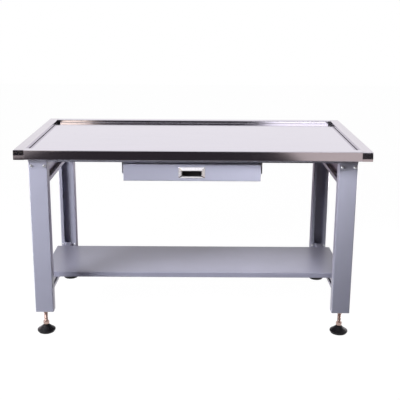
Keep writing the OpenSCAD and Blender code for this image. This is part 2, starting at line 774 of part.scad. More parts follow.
// Handle: a raised bezel whose four faces slope up to the finger opening, with a cup behind it
module handle() {
    color(chrome) translate([handle_x, drawer_front_y, handle_z]) rotate([90, 0, 0]) difference() {
        union() {
            bezel(handle_w, handle_h, cup_w, grip_h + 2 * handle_t, handle_out, grip_drop);
            translate([-cup_w / 2, -cup_h / 2, -cup_depth]) cube([cup_w, cup_h, cup_depth + handle_t]);
        }
        translate([0, 0, -cup_depth + handle_t]) linear_extrude(cup_depth + handle_out)
            round_rect(grip_w, grip_h, 3);
        translate([0, 0, -cup_depth + handle_t]) linear_extrude(cup_depth)
            round_rect(grip_w, grip_h + 4, 3);
        for (s = [-1, 1]) translate([s * handle_screw_x, 0, -cut]) {
            cylinder(r = handle_screw_r + screw_gap, h = handle_out + 2 * cut);
            translate([0, 0, cut + handle_out / 3])
                cylinder(r = handle_screw_head_r + screw_gap, h = handle_out);
        }
    }
}
// Low pyramid with a flat top: w by h at its foot, which is raised by rise, and top_w by top_h above
module bezel(w, h, top_w, top_h, out, rise) {
    foot = [for (p = [[-w, -h], [w, -h], [w, h], [-w, h]] / 2) p + [0, rise]];
    top = [[-top_w, -top_h], [top_w, -top_h], [top_w, top_h], [-top_w, top_h]] / 2;
    polyhedron(
        points = concat([for (p = foot) [p[0], p[1], 0]], [for (p = top) [p[0], p[1], out]]),
        faces = [[0, 1, 2, 3], [7, 6, 5, 4], [4, 5, 1, 0], [5, 6, 2, 1], [6, 7, 3, 2], [7, 4, 0, 3]]
    );
}
module handle_screws() {
    color(bright_zinc) translate([handle_x, drawer_front_y - handle_out / 3, handle_z])
        for (s = [-1, 1]) translate([s * handle_screw_x, 0, 0]) rotate([90, 0, 0])
            flat_screw(handle_screw_r, handle_screw_head_r, handle_screw_head_h, handle_out / 3 + 6);
}

// Stud of a foot: thread, hexagon, neck and ball in one piece
module foot_stud(sx, sy) {
    color(zinc) at_leg(sx, sy) {
        translate([0, 0, hex_z + hex_h]) cylinder(d = stud_d, h = leg_clear + stud_above - hex_z - hex_h - 1);
        translate([0, 0, leg_clear + stud_above - 1]) cylinder(d1 = stud_d, d2 = stud_d - 2, h = 1);
        translate([0, 0, hex_z]) hexagon(nut_af - 1, hex_h);
        translate([0, 0, ball_z]) cylinder(r = neck_r, h = hex_z - ball_z);
        translate([0, 0, ball_z]) sphere(ball_r);
    }
}

// Pad of a foot: a cone with a rim, hollowed for the ball
module foot_pad(sx, sy) {
    r = pad_d / 2;
    color(rubber_black) at_leg(sx, sy) difference() {
        rotate_extrude() polygon([
            [0, sole_t], [r - 3, sole_t], [r, pad_rim_z], [r, pad_rim_z + pad_rim_h],
            [r - 2.5, pad_rim_z + pad_rim_h + 2], [pad_neck_r, pad_h - 1], [pad_neck_r - 1, pad_h], [0, pad_h]
        ]);
        translate([0, 0, ball_z]) sphere(ball_r + socket_gap);
        translate([0, 0, ball_z]) cylinder(r = mouth_r, h = pad_h);
    }
}
module foot_sole(sx, sy) {
    r = sole_d / 2;
    color(rubber_black) at_leg(sx, sy)
        rotate_extrude() polygon([[0, 0], [r, 0], [r + 1.5, 1.5], [r + 1.5, sole_t], [0, sole_t]]);
}

worktop_tray();
side_rim_piece(-1);  // side_rim_left
side_rim_piece(1);  // side_rim_right
worktop_board();
long_beam(-1);  // front_beam
long_beam(1);  // rear_beam
leg(-1, -1);  // leg_front_left
leg(1, -1);  // leg_front_right
leg(-1, 1);  // leg_rear_left
leg(1, 1);  // leg_rear_right
leg_foot_plates();
foot_weld_nuts();
foot_lock_nuts();
side_rail(-1, upper_rail_z, board_z, upper_plate_top, upper_bolts);  // upper_side_rail_left
side_rail(1, upper_rail_z, board_z, upper_plate_top, upper_bolts);  // upper_side_rail_right
side_rail(-1, lower_rail_z, shelf_z, shelf_z, lower_bolts);  // lower_side_rail_left
side_rail(1, lower_rail_z, shelf_z, shelf_z, lower_bolts);  // lower_side_rail_right
leg_head_bolts();
leg_head_nuts();
side_rail_bolts();
side_rail_nuts();
worktop_screws();
shelf_pan();
shelf_stiffeners();
shelf_bolts();
shelf_nuts();
drawer_housing();
drawer_hanger();
housing_screws();
runner_outer(-1);  // runner_outer_left
runner_outer(1);  // runner_outer_right
runner_outer_rivets();
runner_middle(-1);  // runner_middle_left
runner_middle(1);  // runner_middle_right
runner_cages(-1);  // runner_cages_left
runner_cages(1);  // runner_cages_right
runner_inner(-1);  // runner_inner_left
runner_inner(1);  // runner_inner_right
runner_inner_rivets();
drawer_box();
drawer_front();
drawer_front_screws();
handle();
handle_screws();
foot_stud(-1, -1);  // foot_stud_front_left
foot_stud(1, -1);  // foot_stud_front_right
foot_stud(-1, 1);  // foot_stud_rear_left
foot_stud(1, 1);  // foot_stud_rear_right
foot_pad(-1, -1);  // foot_pad_front_left
foot_pad(1, -1);  // foot_pad_front_right
foot_pad(-1, 1);  // foot_pad_rear_left
foot_pad(1, 1);  // foot_pad_rear_right
foot_sole(-1, -1);  // foot_sole_front_left
foot_sole(1, -1);  // foot_sole_front_right
foot_sole(-1, 1);  // foot_sole_rear_left
foot_sole(1, 1);  // foot_sole_rear_right
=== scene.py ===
import math

import bmesh
import bpy
from mathutils import Matrix, Vector


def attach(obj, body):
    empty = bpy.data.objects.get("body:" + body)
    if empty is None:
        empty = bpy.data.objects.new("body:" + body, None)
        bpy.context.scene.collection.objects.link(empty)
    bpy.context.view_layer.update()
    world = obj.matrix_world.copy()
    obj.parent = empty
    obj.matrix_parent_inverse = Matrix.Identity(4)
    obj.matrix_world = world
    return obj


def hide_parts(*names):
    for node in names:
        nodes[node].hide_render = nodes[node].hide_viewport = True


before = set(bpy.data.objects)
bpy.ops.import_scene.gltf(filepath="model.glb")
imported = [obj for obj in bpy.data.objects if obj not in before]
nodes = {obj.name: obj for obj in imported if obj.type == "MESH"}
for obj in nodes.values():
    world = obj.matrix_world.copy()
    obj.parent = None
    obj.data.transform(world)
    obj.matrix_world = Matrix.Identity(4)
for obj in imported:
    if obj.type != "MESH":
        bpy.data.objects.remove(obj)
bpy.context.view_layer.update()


# Camera
# The photographer stood almost in front of the table, a little above it, and looked down
# by fourteen degrees. The lens is a short telephoto on a full frame.
camera_at = Vector((0.0163, -3.3667, 1.4811))
camera_turn = math.radians(0.234)
camera_dip = math.radians(13.957)
camera_roll = math.radians(0.368)

level_part = math.cos(camera_dip)
ahead = Vector((math.sin(camera_turn) * level_part, math.cos(camera_turn) * level_part,
                -math.sin(camera_dip)))
level_right = Vector((math.cos(camera_turn), -math.sin(camera_turn), 0.0))
level_up = level_right.cross(ahead)
right = level_right * math.cos(camera_roll) + level_up * math.sin(camera_roll)
up = level_up * math.cos(camera_roll) - level_right * math.sin(camera_roll)
lens = bpy.data.cameras.new("camera")
lens.sensor_width = 36.0
lens.lens = 65.72
lens.shift_y = -0.06
lens.clip_end = 60.0
camera = bpy.data.objects.new("camera", lens)
camera.matrix_world = Matrix.Translation(camera_at) @ Matrix((right, up, -ahead)).transposed().to_4x4()
bpy.context.collection.objects.link(camera)
bpy.context.scene.camera = camera
bpy.context.scene.view_settings.view_transform = "Standard"


# Studio floor
# White paper that is rolled out under the table. The camera and the metal see it as plain
# white, and it keeps only a trace of the table's shadow.
def add_node(tree, kind, settings=None, **links):
    """Adds a node, sets its ramp's stops, its fields and sockets, and links the sockets given outputs."""
    node = tree.nodes.new(kind)
    for name, value in (settings or {}).items():
        if name == "stops":
            for element, (position, code) in zip(node.color_ramp.elements, value):
                element.position = position
                element.color = linear(code)
        elif isinstance(name, str) and hasattr(node, name):
            setattr(node, name, value)
        else:
            node.inputs[name].default_value = value
    for name, source in links.items():
        by_number = name[0] == "i" and name[1:].isdigit()
        socket = node.inputs[int(name[1:])] if by_number else node.inputs[name.replace("_", " ")]
        tree.links.new(source, socket)
    return node


def linear(code):
    """A linear colour from an sRGB hex code."""
    parts = [int(code[i:i + 2], 16) / 255 for i in (1, 3, 5)]
    return [p / 12.92 if p <= 0.04045 else ((p + 0.055) / 1.055) ** 2.4 for p in parts] + [1.0]


def new_material(name):
    """A material that has no nodes yet, and its node tree."""
    material = bpy.data.materials.new(name)
    material.use_nodes = True
    material.node_tree.nodes.clear()
    return material, material.node_tree


PAPER_HALF, PAPER_GLOW, PLAIN_SHARE = 9.0, 1.10, 0.9
paper_mesh = bpy.data.meshes.new("paper_floor")
paper_corners = [(x * PAPER_HALF, y * PAPER_HALF, 0) for x, y in ((-1, -1), (1, -1), (1, 1), (-1, 1))]
paper_mesh.from_pydata(paper_corners, [], [(0, 1, 2, 3)])
paper_floor = bpy.data.objects.new("paper_floor", paper_mesh)
bpy.context.collection.objects.link(paper_floor)
paper, tree = new_material("white_paper")
matt = add_node(tree, "ShaderNodeBsdfDiffuse", {"Color": linear("#C9C7CC")})
# Light that has bounced off the table finds the paper dark, so that little comes up under the top.
under = add_node(tree, "ShaderNodeBsdfDiffuse", {"Color": linear("#55525A")})
white = add_node(tree, "ShaderNodeEmission", {"Color": linear("#FFFFFF"), "Strength": PAPER_GLOW})
ray = add_node(tree, "ShaderNodeLightPath")
bounce = add_node(tree, "ShaderNodeMixShader", i0=ray.outputs["Is Diffuse Ray"],
                  i1=matt.outputs[0], i2=under.outputs[0])
seen = add_node(tree, "ShaderNodeMath", {"operation": "MAXIMUM"},
                i0=ray.outputs["Is Camera Ray"], i1=ray.outputs["Is Glossy Ray"])
share = add_node(tree, "ShaderNodeMath", {"operation": "MULTIPLY", 1: PLAIN_SHARE}, i0=seen.outputs[0])
blend = add_node(tree, "ShaderNodeMixShader", i0=share.outputs[0],
                 i1=bounce.outputs[0], i2=white.outputs[0])
add_node(tree, "ShaderNodeOutputMaterial", Surface=blend.outputs[0])
paper_mesh.materials.append(paper)


# Studio walls, lamps and cards
# The wall behind the table is white and the camera's side of the room is dark. A soft box stands
# at the left, a small lamp hangs from a boom at the front right, and two weak ones stand low behind.
# Cloth, papers and screens round the set shape what metal mirrors.
world = bpy.data.worlds.new("studio")
bpy.context.scene.world = world
world.use_nodes = True
tree = world.node_tree
tree.nodes.clear()
toward = add_node(tree, "ShaderNodeTexCoord")
split = add_node(tree, "ShaderNodeSeparateXYZ", i0=toward.outputs["Generated"])
depth = add_node(tree, "ShaderNodeMapRange", {"From Min": -0.25, "From Max": 0.30},
                 i0=split.outputs["Y"])
walls = add_node(tree, "ShaderNodeValToRGB", {"stops": ((0.0, "#18151A"), (1.0, "#FFFDFF"))},
                 i0=depth.outputs[0])
room = add_node(tree, "ShaderNodeBackground", {"Strength": 1.0}, Color=walls.outputs[0])
fill = add_node(tree, "ShaderNodeBackground", {"Color": linear("#F4F1FA"), "Strength": 0.02})
backdrop = add_node(tree, "ShaderNodeBackground", {"Color": linear("#FFFFFF"), "Strength": 1.0})
ray = add_node(tree, "ShaderNodeLightPath")
shiny = add_node(tree, "ShaderNodeMath", {"operation": "MAXIMUM"},
                 i0=ray.outputs["Is Glossy Ray"], i1=ray.outputs["Is Transmission Ray"])
lit = add_node(tree, "ShaderNodeMixShader", i0=shiny.outputs[0], i1=fill.outputs[0], i2=room.outputs[0])
all_rays = add_node(tree, "ShaderNodeMixShader", i0=ray.outputs["Is Camera Ray"],
                    i1=lit.outputs[0], i2=backdrop.outputs[0])
add_node(tree, "ShaderNodeOutputWorld", Surface=all_rays.outputs[0])


def lamp(name, at, target, size, power, tint, spread, mirrored=True):
    """A square soft lamp that points at a target. A grid narrows it, and can hide it from metal."""
    light = bpy.data.lights.new(name, "AREA")
    light.size = size
    light.energy = power
    light.color = linear(tint)[:3]
    light.spread = math.radians(spread)
    holder = bpy.data.objects.new(name, light)
    holder.location = at
    holder.rotation_euler = (Vector(target) - Vector(at)).to_track_quat("-Z", "Y").to_euler()
    holder.visible_glossy = mirrored
    bpy.context.collection.objects.link(holder)


# Each row is a lamp's name, place, target, size, watts, colour, spread, and whether metal mirrors it.
LAMPS = [
    ("soft_box_left", (-1.9, -1.5, 1.34), (0.0, 0.0, 0.55), 0.9, 60.0, "#FAFAFF", 180),
    ("boom_lamp_right", (0.50, -1.15, 1.76), (0.37, -0.36, 0.93), 0.5, 4.3, "#FAFAFF", 66, False),
    ("low_lamp_behind_right", (2.2, 1.3, 0.15), (-0.66, -0.1, 0.74), 0.3, 5.0, "#FFF4FA", 60),
    ("low_lamp_behind_left", (-2.2, 1.3, 0.15), (0.66, -0.1, 0.74), 0.3, 2.5, "#FFDCE8", 60),
]
for row in LAMPS:
    lamp(*row)


def card(name, x, y, z, tint, glare=1.0):
    """A flat or upright card that only shiny surfaces see. A glare above one is lamplight on it."""
    corners = [(x[0], y[0], z[0]), (x[1], y[0], z[0]), (x[1], y[1], z[1]), (x[0], y[1], z[1])]
    mesh = bpy.data.meshes.new(name)
    mesh.from_pydata(corners, [], [(0, 1, 2, 3)])
    sheet = bpy.data.objects.new(name, mesh)
    bpy.context.collection.objects.link(sheet)
    for ray_kind in ("camera", "diffuse", "transmission", "shadow"):
        setattr(sheet, "visible_" + ray_kind, False)
    cloth, tree = new_material(name)
    glow = add_node(tree, "ShaderNodeEmission", {"Color": linear(tint), "Strength": glare})
    add_node(tree, "ShaderNodeOutputMaterial", Surface=glow.outputs[0])
    mesh.materials.append(cloth)


CLOTH_LEFT, CLOTH_RIGHT, SET_END = -1.62, 0.92, 8.0
IN_FRONT, BEHIND_CAMERA = (-8.9, -0.52), (-4.4, -4.4)
ON_FLOOR, ON_PAPER, OVERHEAD = (0.012, 0.012), (0.016, 0.016), (3.0, 3.0)
CARDS = [
    ("black_cloth_in_front", (CLOTH_LEFT, CLOTH_RIGHT), IN_FRONT, ON_FLOOR, "#332E32"),
    ("grey_paper_front_right", (CLOTH_RIGHT, SET_END), IN_FRONT, ON_FLOOR, "#D2C6C0"),
    ("grey_paper_front_left", (-SET_END, CLOTH_LEFT), IN_FRONT, ON_FLOOR, "#A79F9C"),
    ("white_card_left", (-3.6, -2.05), (-3.1, -1.5), ON_PAPER, "#FFFFFF"),
    ("white_card_right", (2.05, 3.6), (-3.1, -1.5), ON_PAPER, "#FFFFFF"),
    ("shaded_floor_behind", (-1.3, 1.3), (0.5, 2.45), ON_FLOOR, "#4B4753"),
    ("dark_corner_behind_left", (-6.0, -0.15), (2.6, SET_END), ON_FLOOR, "#3A3540"),
    ("cream_screen_left", (-2.6, -1.27), BEHIND_CAMERA, (1.35, 2.1), "#FFEFD6", 2.2),
    ("white_screen_right", (0.82, 2.10), BEHIND_CAMERA, (1.35, 2.0), "#FFFFFF", 2.5),
    ("white_screen_above", (-1.6, 1.6), (-5.8, -1.2), OVERHEAD, "#FFFFFF", 1.25),
]
for row in CARDS:
    card(*row)


# Stainless worktop
# The top is folded from 1.5 mm stainless sheet with a fine ground finish. The sheet is pressed
# down into a tray, and its front and rear edges turn up, out and down over the board, with a
# small hem below. A strip of the same sheet, closed at its ends, finishes each side.
TOP_W, TOP_D, TOP_Z = 1.500, 0.800, 0.850
SHEET, SHEET_BEND = 0.0015, 0.0016
SKIRT, TRAY_DEEP, HEM = 0.042, 0.014, 0.012
RIM, SIDE_RIM = 0.040, 0.045
BEND_STEPS = 4


def bent_outline(line, sheet, bend):
    """Closed outline of folded sheet along the middle line of its thickness, with round bends."""
    middle = [Vector(p) for p in line]
    track = []
    for i, point in enumerate(middle):
        before = (point - middle[i - 1]).normalized() if i else None
        after = (middle[i + 1] - point).normalized() if i + 1 < len(middle) else None
        if before is None or after is None:
            along = after or before
            track.append((point, Vector((-along.y, along.x))))
            continue
        turn = math.atan2(before.x * after.y - before.y * after.x, before.dot(after))
        side = 1.0 if turn > 0 else -1.0
        radius = bend + sheet / 2
        back = radius * math.tan(abs(turn) / 2)
        left = Vector((-before.y, before.x))
        centre = point - before * back + left * side * radius
        for k in range(BEND_STEPS + 1):
            angle = turn * k / BEND_STEPS
            spoke = -left * side
            spoke = Vector((spoke.x * math.cos(angle) - spoke.y * math.sin(angle),
                            spoke.x * math.sin(angle) + spoke.y * math.cos(angle)))
            track.append((centre + spoke * radius, -spoke * side))
    return [p + n * sheet / 2 for p, n in track] + [p - n * sheet / 2 for p, n in reversed(track)]


def finish_piece(name, mesh, body, material, replaced=(), edge=0.0):
    """Makes a piece of a mesh: its small round edges, material, body and the nodes it stands for."""
    piece = bpy.data.objects.new(name, mesh)
    bpy.context.collection.objects.link(piece)
    mesh.materials.append(material)
    mesh.polygons.foreach_set("use_smooth", [True] * len(mesh.polygons))
    mesh.set_sharp_from_angle(angle=math.radians(32))
    if edge:
        bevel = piece.modifiers.new("edges", "BEVEL")
        bevel.width = edge
        bevel.segments = 2
        bevel.limit_method = "ANGLE"
        bevel.angle_limit = math.radians(50)
        bevel.harden_normals = True
    flats = piece.modifiers.new("flats", "WEIGHTED_NORMAL")
    flats.keep_sharp = True
    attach(piece, body)
    if replaced:
        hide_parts(*replaced)


def skin(shape, one, two):
    """Faces between two rings with the same number of points."""
    count = len(one)
    for i in range(count):
        j = (i + 1) % count
        shape.faces.new((one[i], one[j], two[j], two[i]))


def mesh_of(shape, name):
    """The mesh of a finished shape, with all its faces turned outwards."""
    bmesh.ops.recalc_face_normals(shape, faces=shape.faces)
    mesh = bpy.data.meshes.new(name)
    shape.to_mesh(mesh)
    shape.free()
    return mesh


def swept(parts):
    """A mesh of closed outlines, each drawn on two axes and pushed from its start to its end."""
    shape = bmesh.new()
    for outline, across, upward, start, end in parts:
        rings = []
        for place in (start, end):
            rings.append([shape.verts.new(Vector(place) + Vector(across) * p[0] + Vector(upward) * p[1])
                          for p in outline])
        skin(shape, *rings)
        shape.faces.new(rings[0])
        shape.faces.new(rings[1])
    return mesh_of(shape, "swept")


def lofted(rings, closed=False):
    """A mesh of rings, each joined to the next. Its ends are closed, or its last ring joins its first."""
    shape = bmesh.new()
    made = [[shape.verts.new(p) for p in ring] for ring in rings]
    for one, two in zip(made, made[1:] + made[:1] if closed else made[1:]):
        skin(shape, one, two)
    if not closed:
        shape.faces.new(made[0])
        shape.faces.new(made[-1])
    return mesh_of(shape, "lofted")


def joined(meshes):
    """One mesh from several."""
    shape = bmesh.new()
    for mesh in meshes:
        shape.from_mesh(mesh)
    whole = bpy.data.meshes.new("joined")
    shape.to_mesh(whole)
    shape.free()
    return whole


# Ground stainless steel, about 180 grit: fine scratches along the sheet, a hair apart, drawn
# here 1.5 mm apart so that they show. The sheet is not quite flat, which bends what it mirrors.
def stainless_steel(name, grain_axis, low_tone, high_tone, low_rough, high_rough):
    steel, tree = new_material(name)
    grain_mm, scratch_long_mm, ripple_mm = 1.5, 260.0, 230.0
    place = add_node(tree, "ShaderNodeTexCoord")
    stretch = [1000 / grain_mm] * 3
    stretch[grain_axis] = 1000 / scratch_long_mm
    grain_space = add_node(tree, "ShaderNodeMapping", {"Scale": stretch}, Vector=place.outputs["Object"])
    grain = add_node(tree, "ShaderNodeTexNoise", {"Scale": 1.0, "Detail": 3.0, "Roughness": 0.6},
                     Vector=grain_space.outputs[0])
    ripple = add_node(tree, "ShaderNodeTexNoise", {"Scale": 1000 / ripple_mm, "Detail": 1.0},
                      Vector=place.outputs["Object"])
    tone = add_node(tree, "ShaderNodeValToRGB", {"stops": ((0.30, low_tone), (0.70, high_tone))},
                    Fac=grain.outputs["Fac"])
    rough = add_node(tree, "ShaderNodeMapRange", {"To Min": low_rough, "To Max": high_rough},
                     i0=grain.outputs["Fac"])
    scratches = add_node(tree, "ShaderNodeBump", {"Strength": 0.06, "Distance": 0.0002},
                         Height=grain.outputs["Fac"])
    waves = add_node(tree, "ShaderNodeBump", {"Strength": 0.4, "Distance": 0.0009},
                     Height=ripple.outputs["Fac"], Normal=scratches.outputs[0])
    shader = add_node(tree, "ShaderNodeBsdfPrincipled", {"Metallic": 1.0},
                      Base_Color=tone.outputs[0], Roughness=rough.outputs[0], Normal=waves.outputs[0])
    add_node(tree, "ShaderNodeOutputMaterial", Surface=shader.outputs[0])
    return steel


steel_long = stainless_steel("ground_stainless_lengthwise", 0, "#D0CCD7", "#DCD8E3", 0.08, 0.14)
steel_deep = stainless_steel("ground_stainless_crosswise", 1, "#C4BFC8", "#D8D3DB", 0.09, 0.15)

half_w, half_d = TOP_W / 2, TOP_D / 2
top_z, hem_z = TOP_Z - SHEET / 2, TOP_Z - SKIRT + SHEET / 2
floor_z = TOP_Z - TRAY_DEEP - SHEET / 2
inner_x = half_w - SIDE_RIM
half_line = [(half_d - HEM, hem_z), (half_d - SHEET / 2, hem_z), (half_d - SHEET / 2, top_z),
             (half_d - RIM, top_z), (half_d - RIM, floor_z)]
pan_line = [(-y, z) for y, z in half_line] + list(reversed(half_line))
pan_outline = bent_outline(pan_line, SHEET, SHEET_BEND)
pan_parts = [(pan_outline, (0, 1, 0), (0, 0, 1), (-inner_x, 0, 0), (inner_x, 0, 0))]
finish_piece("worktop_pan", swept(pan_parts), "table", steel_long, ["worktop_tray"],
             edge=0.0003)

# Each side strip ends in plates that are dressed by hand. They stand plumb at the bottom, where
# they mirror the floor, and lean back a little above a crease, where they mirror the dark room.
STRIP_SHORT, PLATE_BACK, LEAN, TOP_BEND = 0.0045, 0.0058, 0.11, 0.0405
strip_line = [(half_w - HEM, hem_z), (half_w - SHEET / 2, hem_z), (half_w - SHEET / 2, top_z),
              (inner_x + SHEET / 2, top_z), (inner_x + SHEET / 2, floor_z)]
strip = bent_outline(strip_line, SHEET, SHEET_BEND)
strip_end = half_d - STRIP_SHORT
for side, name, crease in ((-1, "side_rim_left", 0.018), (1, "side_rim_right", 0.010)):
    # Each level of a plate is its height, how far it leans back, and how far its outer edge turns in.
    plate_levels = [(0.0, 0.0008, 0.0015), (0.0015, 0.0002, 0.0002), (0.004, 0.0, 0.0), (crease, 0.0, 0.0)]
    plate_levels += [(crease + rise, rise * LEAN, 0.0) for rise in (0.003, 0.012, 0.020)]
    plate_levels += [(TOP_BEND, (TOP_BEND - crease) * LEAN, 0.0010), (SKIRT, STRIP_SHORT, 0.0030)]
    pieces = [swept([(strip, (side, 0, 0), (0, 0, 1), (0, -strip_end, 0), (0, strip_end, 0))])]
    for front in (-1, 1):
        rings = []
        for height, lean, inset in plate_levels:
            x0, x1 = side * inner_x, side * (half_w - inset)
            y0, y1 = front * (half_d - lean), front * (half_d - PLATE_BACK)
            z = TOP_Z - SKIRT + height
            rings.append([(x0, y0, z), (x1, y0, z), (x1, y1, z), (x0, y1, z)])
        pieces.append(lofted(rings))
    finish_piece(name + "_strip", joined(pieces), "table", steel_deep, [name], edge=0.0003)


def mottled(name, patch_mm, low_rough, high_rough, settings, bump=None):
    """A material of one colour. Its gloss changes from patch to patch, and a bump makes them stand out."""
    material, tree = new_material(name)
    place = add_node(tree, "ShaderNodeTexCoord")
    patches = add_node(tree, "ShaderNodeTexNoise", {"Scale": 1000 / patch_mm, "Detail": 2.0},
                       Vector=place.outputs["Object"])
    rough = add_node(tree, "ShaderNodeMapRange", {"To Min": low_rough, "To Max": high_rough},
                     i0=patches.outputs["Fac"])
    links = {"Roughness": rough.outputs[0]}
    if bump:
        relief = add_node(tree, "ShaderNodeBump", {"Strength": bump[0], "Distance": bump[1]},
                          Height=patches.outputs["Fac"])
        links["Normal"] = relief.outputs[0]
    shader = add_node(tree, "ShaderNodeBsdfPrincipled", settings, **links)
    add_node(tree, "ShaderNodeOutputMaterial", Surface=shader.outputs[0])
    return material


# Painted shade: a thin near-black bead lies in the joint between the tray and each side strip,
# and a thick blob in both rear corners, where shadow falls. Its gloss changes in 9 mm patches.
gloss_patch_mm = 9.0
seam_shade_paint = mottled("painted_shade_in_seams", gloss_patch_mm, 0.45, 0.65,
                  {"Base Color": linear("#1B171E"), "IOR": 1.45})
# A bead's points give the distance from the strip's wall and the height above the tray. A blob's
# points give the distances from the side wall and from the rear wall.
bead_outline = [(-0.0002, -0.0001), (0.0026, -0.0001), (0.0024, 0.0005), (0.0016, 0.0012),
                (0.0006, 0.0024), (-0.0002, 0.0028)]
blob_outline = [(-0.0002, 0.0), (0.0145, 0.0), (0.0125, -0.0035), (0.0080, -0.0070),
                (0.0040, -0.0110), (-0.0002, -0.0140)]
BEAD_SHORT, BLOB_PRESSED, BLOB_BELOW = 0.002, 0.0002, 0.0008
bead_end, tray_top = half_d - RIM - BEAD_SHORT, TOP_Z - TRAY_DEEP
bead_parts = []
for side in (-1, 1):
    wall_x = side * inner_x
    bead_parts.append((bead_outline, (-side, 0, 0), (0, 0, 1),
                       (wall_x, -bead_end, tray_top), (wall_x, bead_end, tray_top)))
    blob_low = Vector((wall_x, half_d - RIM + BLOB_PRESSED, tray_top))
    blob_high = blob_low + Vector((0, 0, TRAY_DEEP - BLOB_BELOW))
    bead_parts.append((blob_outline, (-side, 0, 0), (0, 1, 0), blob_low, blob_high))
# The beads and blobs are painted shade in the joints and the rear corners.
finish_piece("worktop_seam_shade_beads", swept(bead_parts), "table", seam_shade_paint)


# Board
# Particle board 25 mm thick, cut to fill the folded top. Only its underside shows: pale brown
# chips a few millimetres long, pressed flat, with a dull surface.
board, tree = new_material("particle_board")
chip_mm = 5.0
place = add_node(tree, "ShaderNodeTexCoord")
chips = add_node(tree, "ShaderNodeTexVoronoi", {"Scale": 1000 / chip_mm, "Randomness": 1.0},
                 Vector=place.outputs["Object"])
chip_tone = add_node(tree, "ShaderNodeValToRGB", {"stops": ((0.0, "#8F6B45"), (1.0, "#C9A676"))},
                     Fac=chips.outputs["Color"])
chip_bump = add_node(tree, "ShaderNodeBump", {"Strength": 0.2, "Distance": 0.0003},
                     Height=chips.outputs["Distance"])
wood = add_node(tree, "ShaderNodeBsdfPrincipled", {"Roughness": 0.75},
                Base_Color=chip_tone.outputs[0], Normal=chip_bump.outputs[0])
add_node(tree, "ShaderNodeOutputMaterial", Surface=wood.outputs[0])


def dress(names, material):
    """Gives carried-over solids their material."""
    for name in names:
        mesh = nodes[name].data
        mesh.materials.clear()
        mesh.materials.append(material)


dress(["worktop_board"], board)


# Beams
# Flat tubes that carry the board, with a 2.5 mm tab welded over the head of each leg. Like all of
# the frame they are mild steel, powder coated in a blue grey with a half gloss. The powder melts
# to a fine orange skin, about 1 mm from crest to crest.
def powder_coat(name, light_tone, dark_tone, low_rough, high_rough):
    coat, tree = new_material(name)
    peel_mm, cloud_mm = 1.2, 160.0
    place = add_node(tree, "ShaderNodeTexCoord")
    peel = add_node(tree, "ShaderNodeTexNoise", {"Scale": 1000 / peel_mm, "Detail": 2.0},
                    Vector=place.outputs["Object"])
    cloud = add_node(tree, "ShaderNodeTexNoise", {"Scale": 1000 / cloud_mm, "Detail": 4.0, "Roughness": 0.55},
                     Vector=place.outputs["Object"])
    tone = add_node(tree, "ShaderNodeValToRGB", {"stops": ((0.32, dark_tone), (0.68, light_tone))},
                    Fac=cloud.outputs["Fac"])
    rough = add_node(tree, "ShaderNodeMapRange", {"To Min": low_rough, "To Max": high_rough},
                     i0=cloud.outputs["Fac"])
    peel_bump = add_node(tree, "ShaderNodeBump", {"Strength": 0.25, "Distance": 0.0001},
                         Height=peel.outputs["Fac"])
    shader = add_node(tree, "ShaderNodeBsdfPrincipled", {"Metallic": 0.0, "IOR": 1.5},
                      Base_Color=tone.outputs[0], Roughness=rough.outputs[0], Normal=peel_bump.outputs[0])
    add_node(tree, "ShaderNodeOutputMaterial", Surface=shader.outputs[0])
    return coat


frame_grey = powder_coat("blue_grey_powder_coat", "#AEAFBF", "#ACADBD", 0.34, 0.37)
LEG_X, LEG_Y, LEG_W, LEG_D = 0.660, 0.3275, 0.080, 0.045
BEAM_LOW, BEAM_TALL, BEAM_DEEP, BEAM_WALL = 0.7895, 0.020, 0.040, 0.0015
BEAM_ROUND, BORE_ROUND = 0.0025, 0.001
TAB_W, TAB_LOW, TAB_HIGH, TAB_T, TAB_ROUND = 0.076, 0.7605, 0.7990, 0.0025, 0.006
# The chamfer's points give how far they lie below the tab's face and inside its edge.
TAB_CHAMFER = ((0.0009, 0.0), (0.0004, 0.0003), (0.0, 0.0010))


def round_corners(wide, high, radius, steps=4):
    """Outline of a rectangle with round corners, round the origin."""
    points = []
    for cx, cy, first in ((1, 1, 0), (-1, 1, 90), (-1, -1, 180), (1, -1, 270)):
        for k in range(steps + 1):
            angle = math.radians(first + 90 * k / steps)
            points.append((cx * (wide / 2 - radius) + radius * math.cos(angle),
                           cy * (high / 2 - radius) + radius * math.sin(angle)))
    return points


def tab_mesh(sx, sy):
    """A plate with round corners and a broad chamfer all round its outer face."""
    face = LEG_Y + LEG_D / 2
    middle_z, tall = (TAB_LOW + TAB_HIGH) / 2, TAB_HIGH - TAB_LOW
    rings = []
    for out, inset in [(0.0, 0.0)] + [(TAB_T - below, inset) for below, inset in TAB_CHAMFER]:
        outline = round_corners(TAB_W - 2 * inset, tall - 2 * inset, TAB_ROUND - inset)
        rings.append([(sx * LEG_X + x, sy * (face + out), middle_z + z) for x, z in outline])
    return lofted(rings)


for name, sy in (("front_beam", -1), ("rear_beam", 1)):
    middle_y, middle_z = sy * (LEG_Y + LEG_D / 2 - BEAM_DEEP / 2), BEAM_LOW + BEAM_TALL / 2
    outside = round_corners(BEAM_DEEP, BEAM_TALL, BEAM_ROUND)
    inside = round_corners(BEAM_DEEP - 2 * BEAM_WALL, BEAM_TALL - 2 * BEAM_WALL, BORE_ROUND)
    end = LEG_X + LEG_W / 2
    rings = [[(x, middle_y + y, middle_z + z) for y, z in outline]
             for x, outline in ((-end, outside), (end, outside), (end, inside), (-end, inside))]
    parts = [lofted(rings, closed=True)] + [tab_mesh(sx, sy) for sx in (-1, 1)]
    finish_piece(name + "_tube", joined(parts), "table", frame_grey, [name])


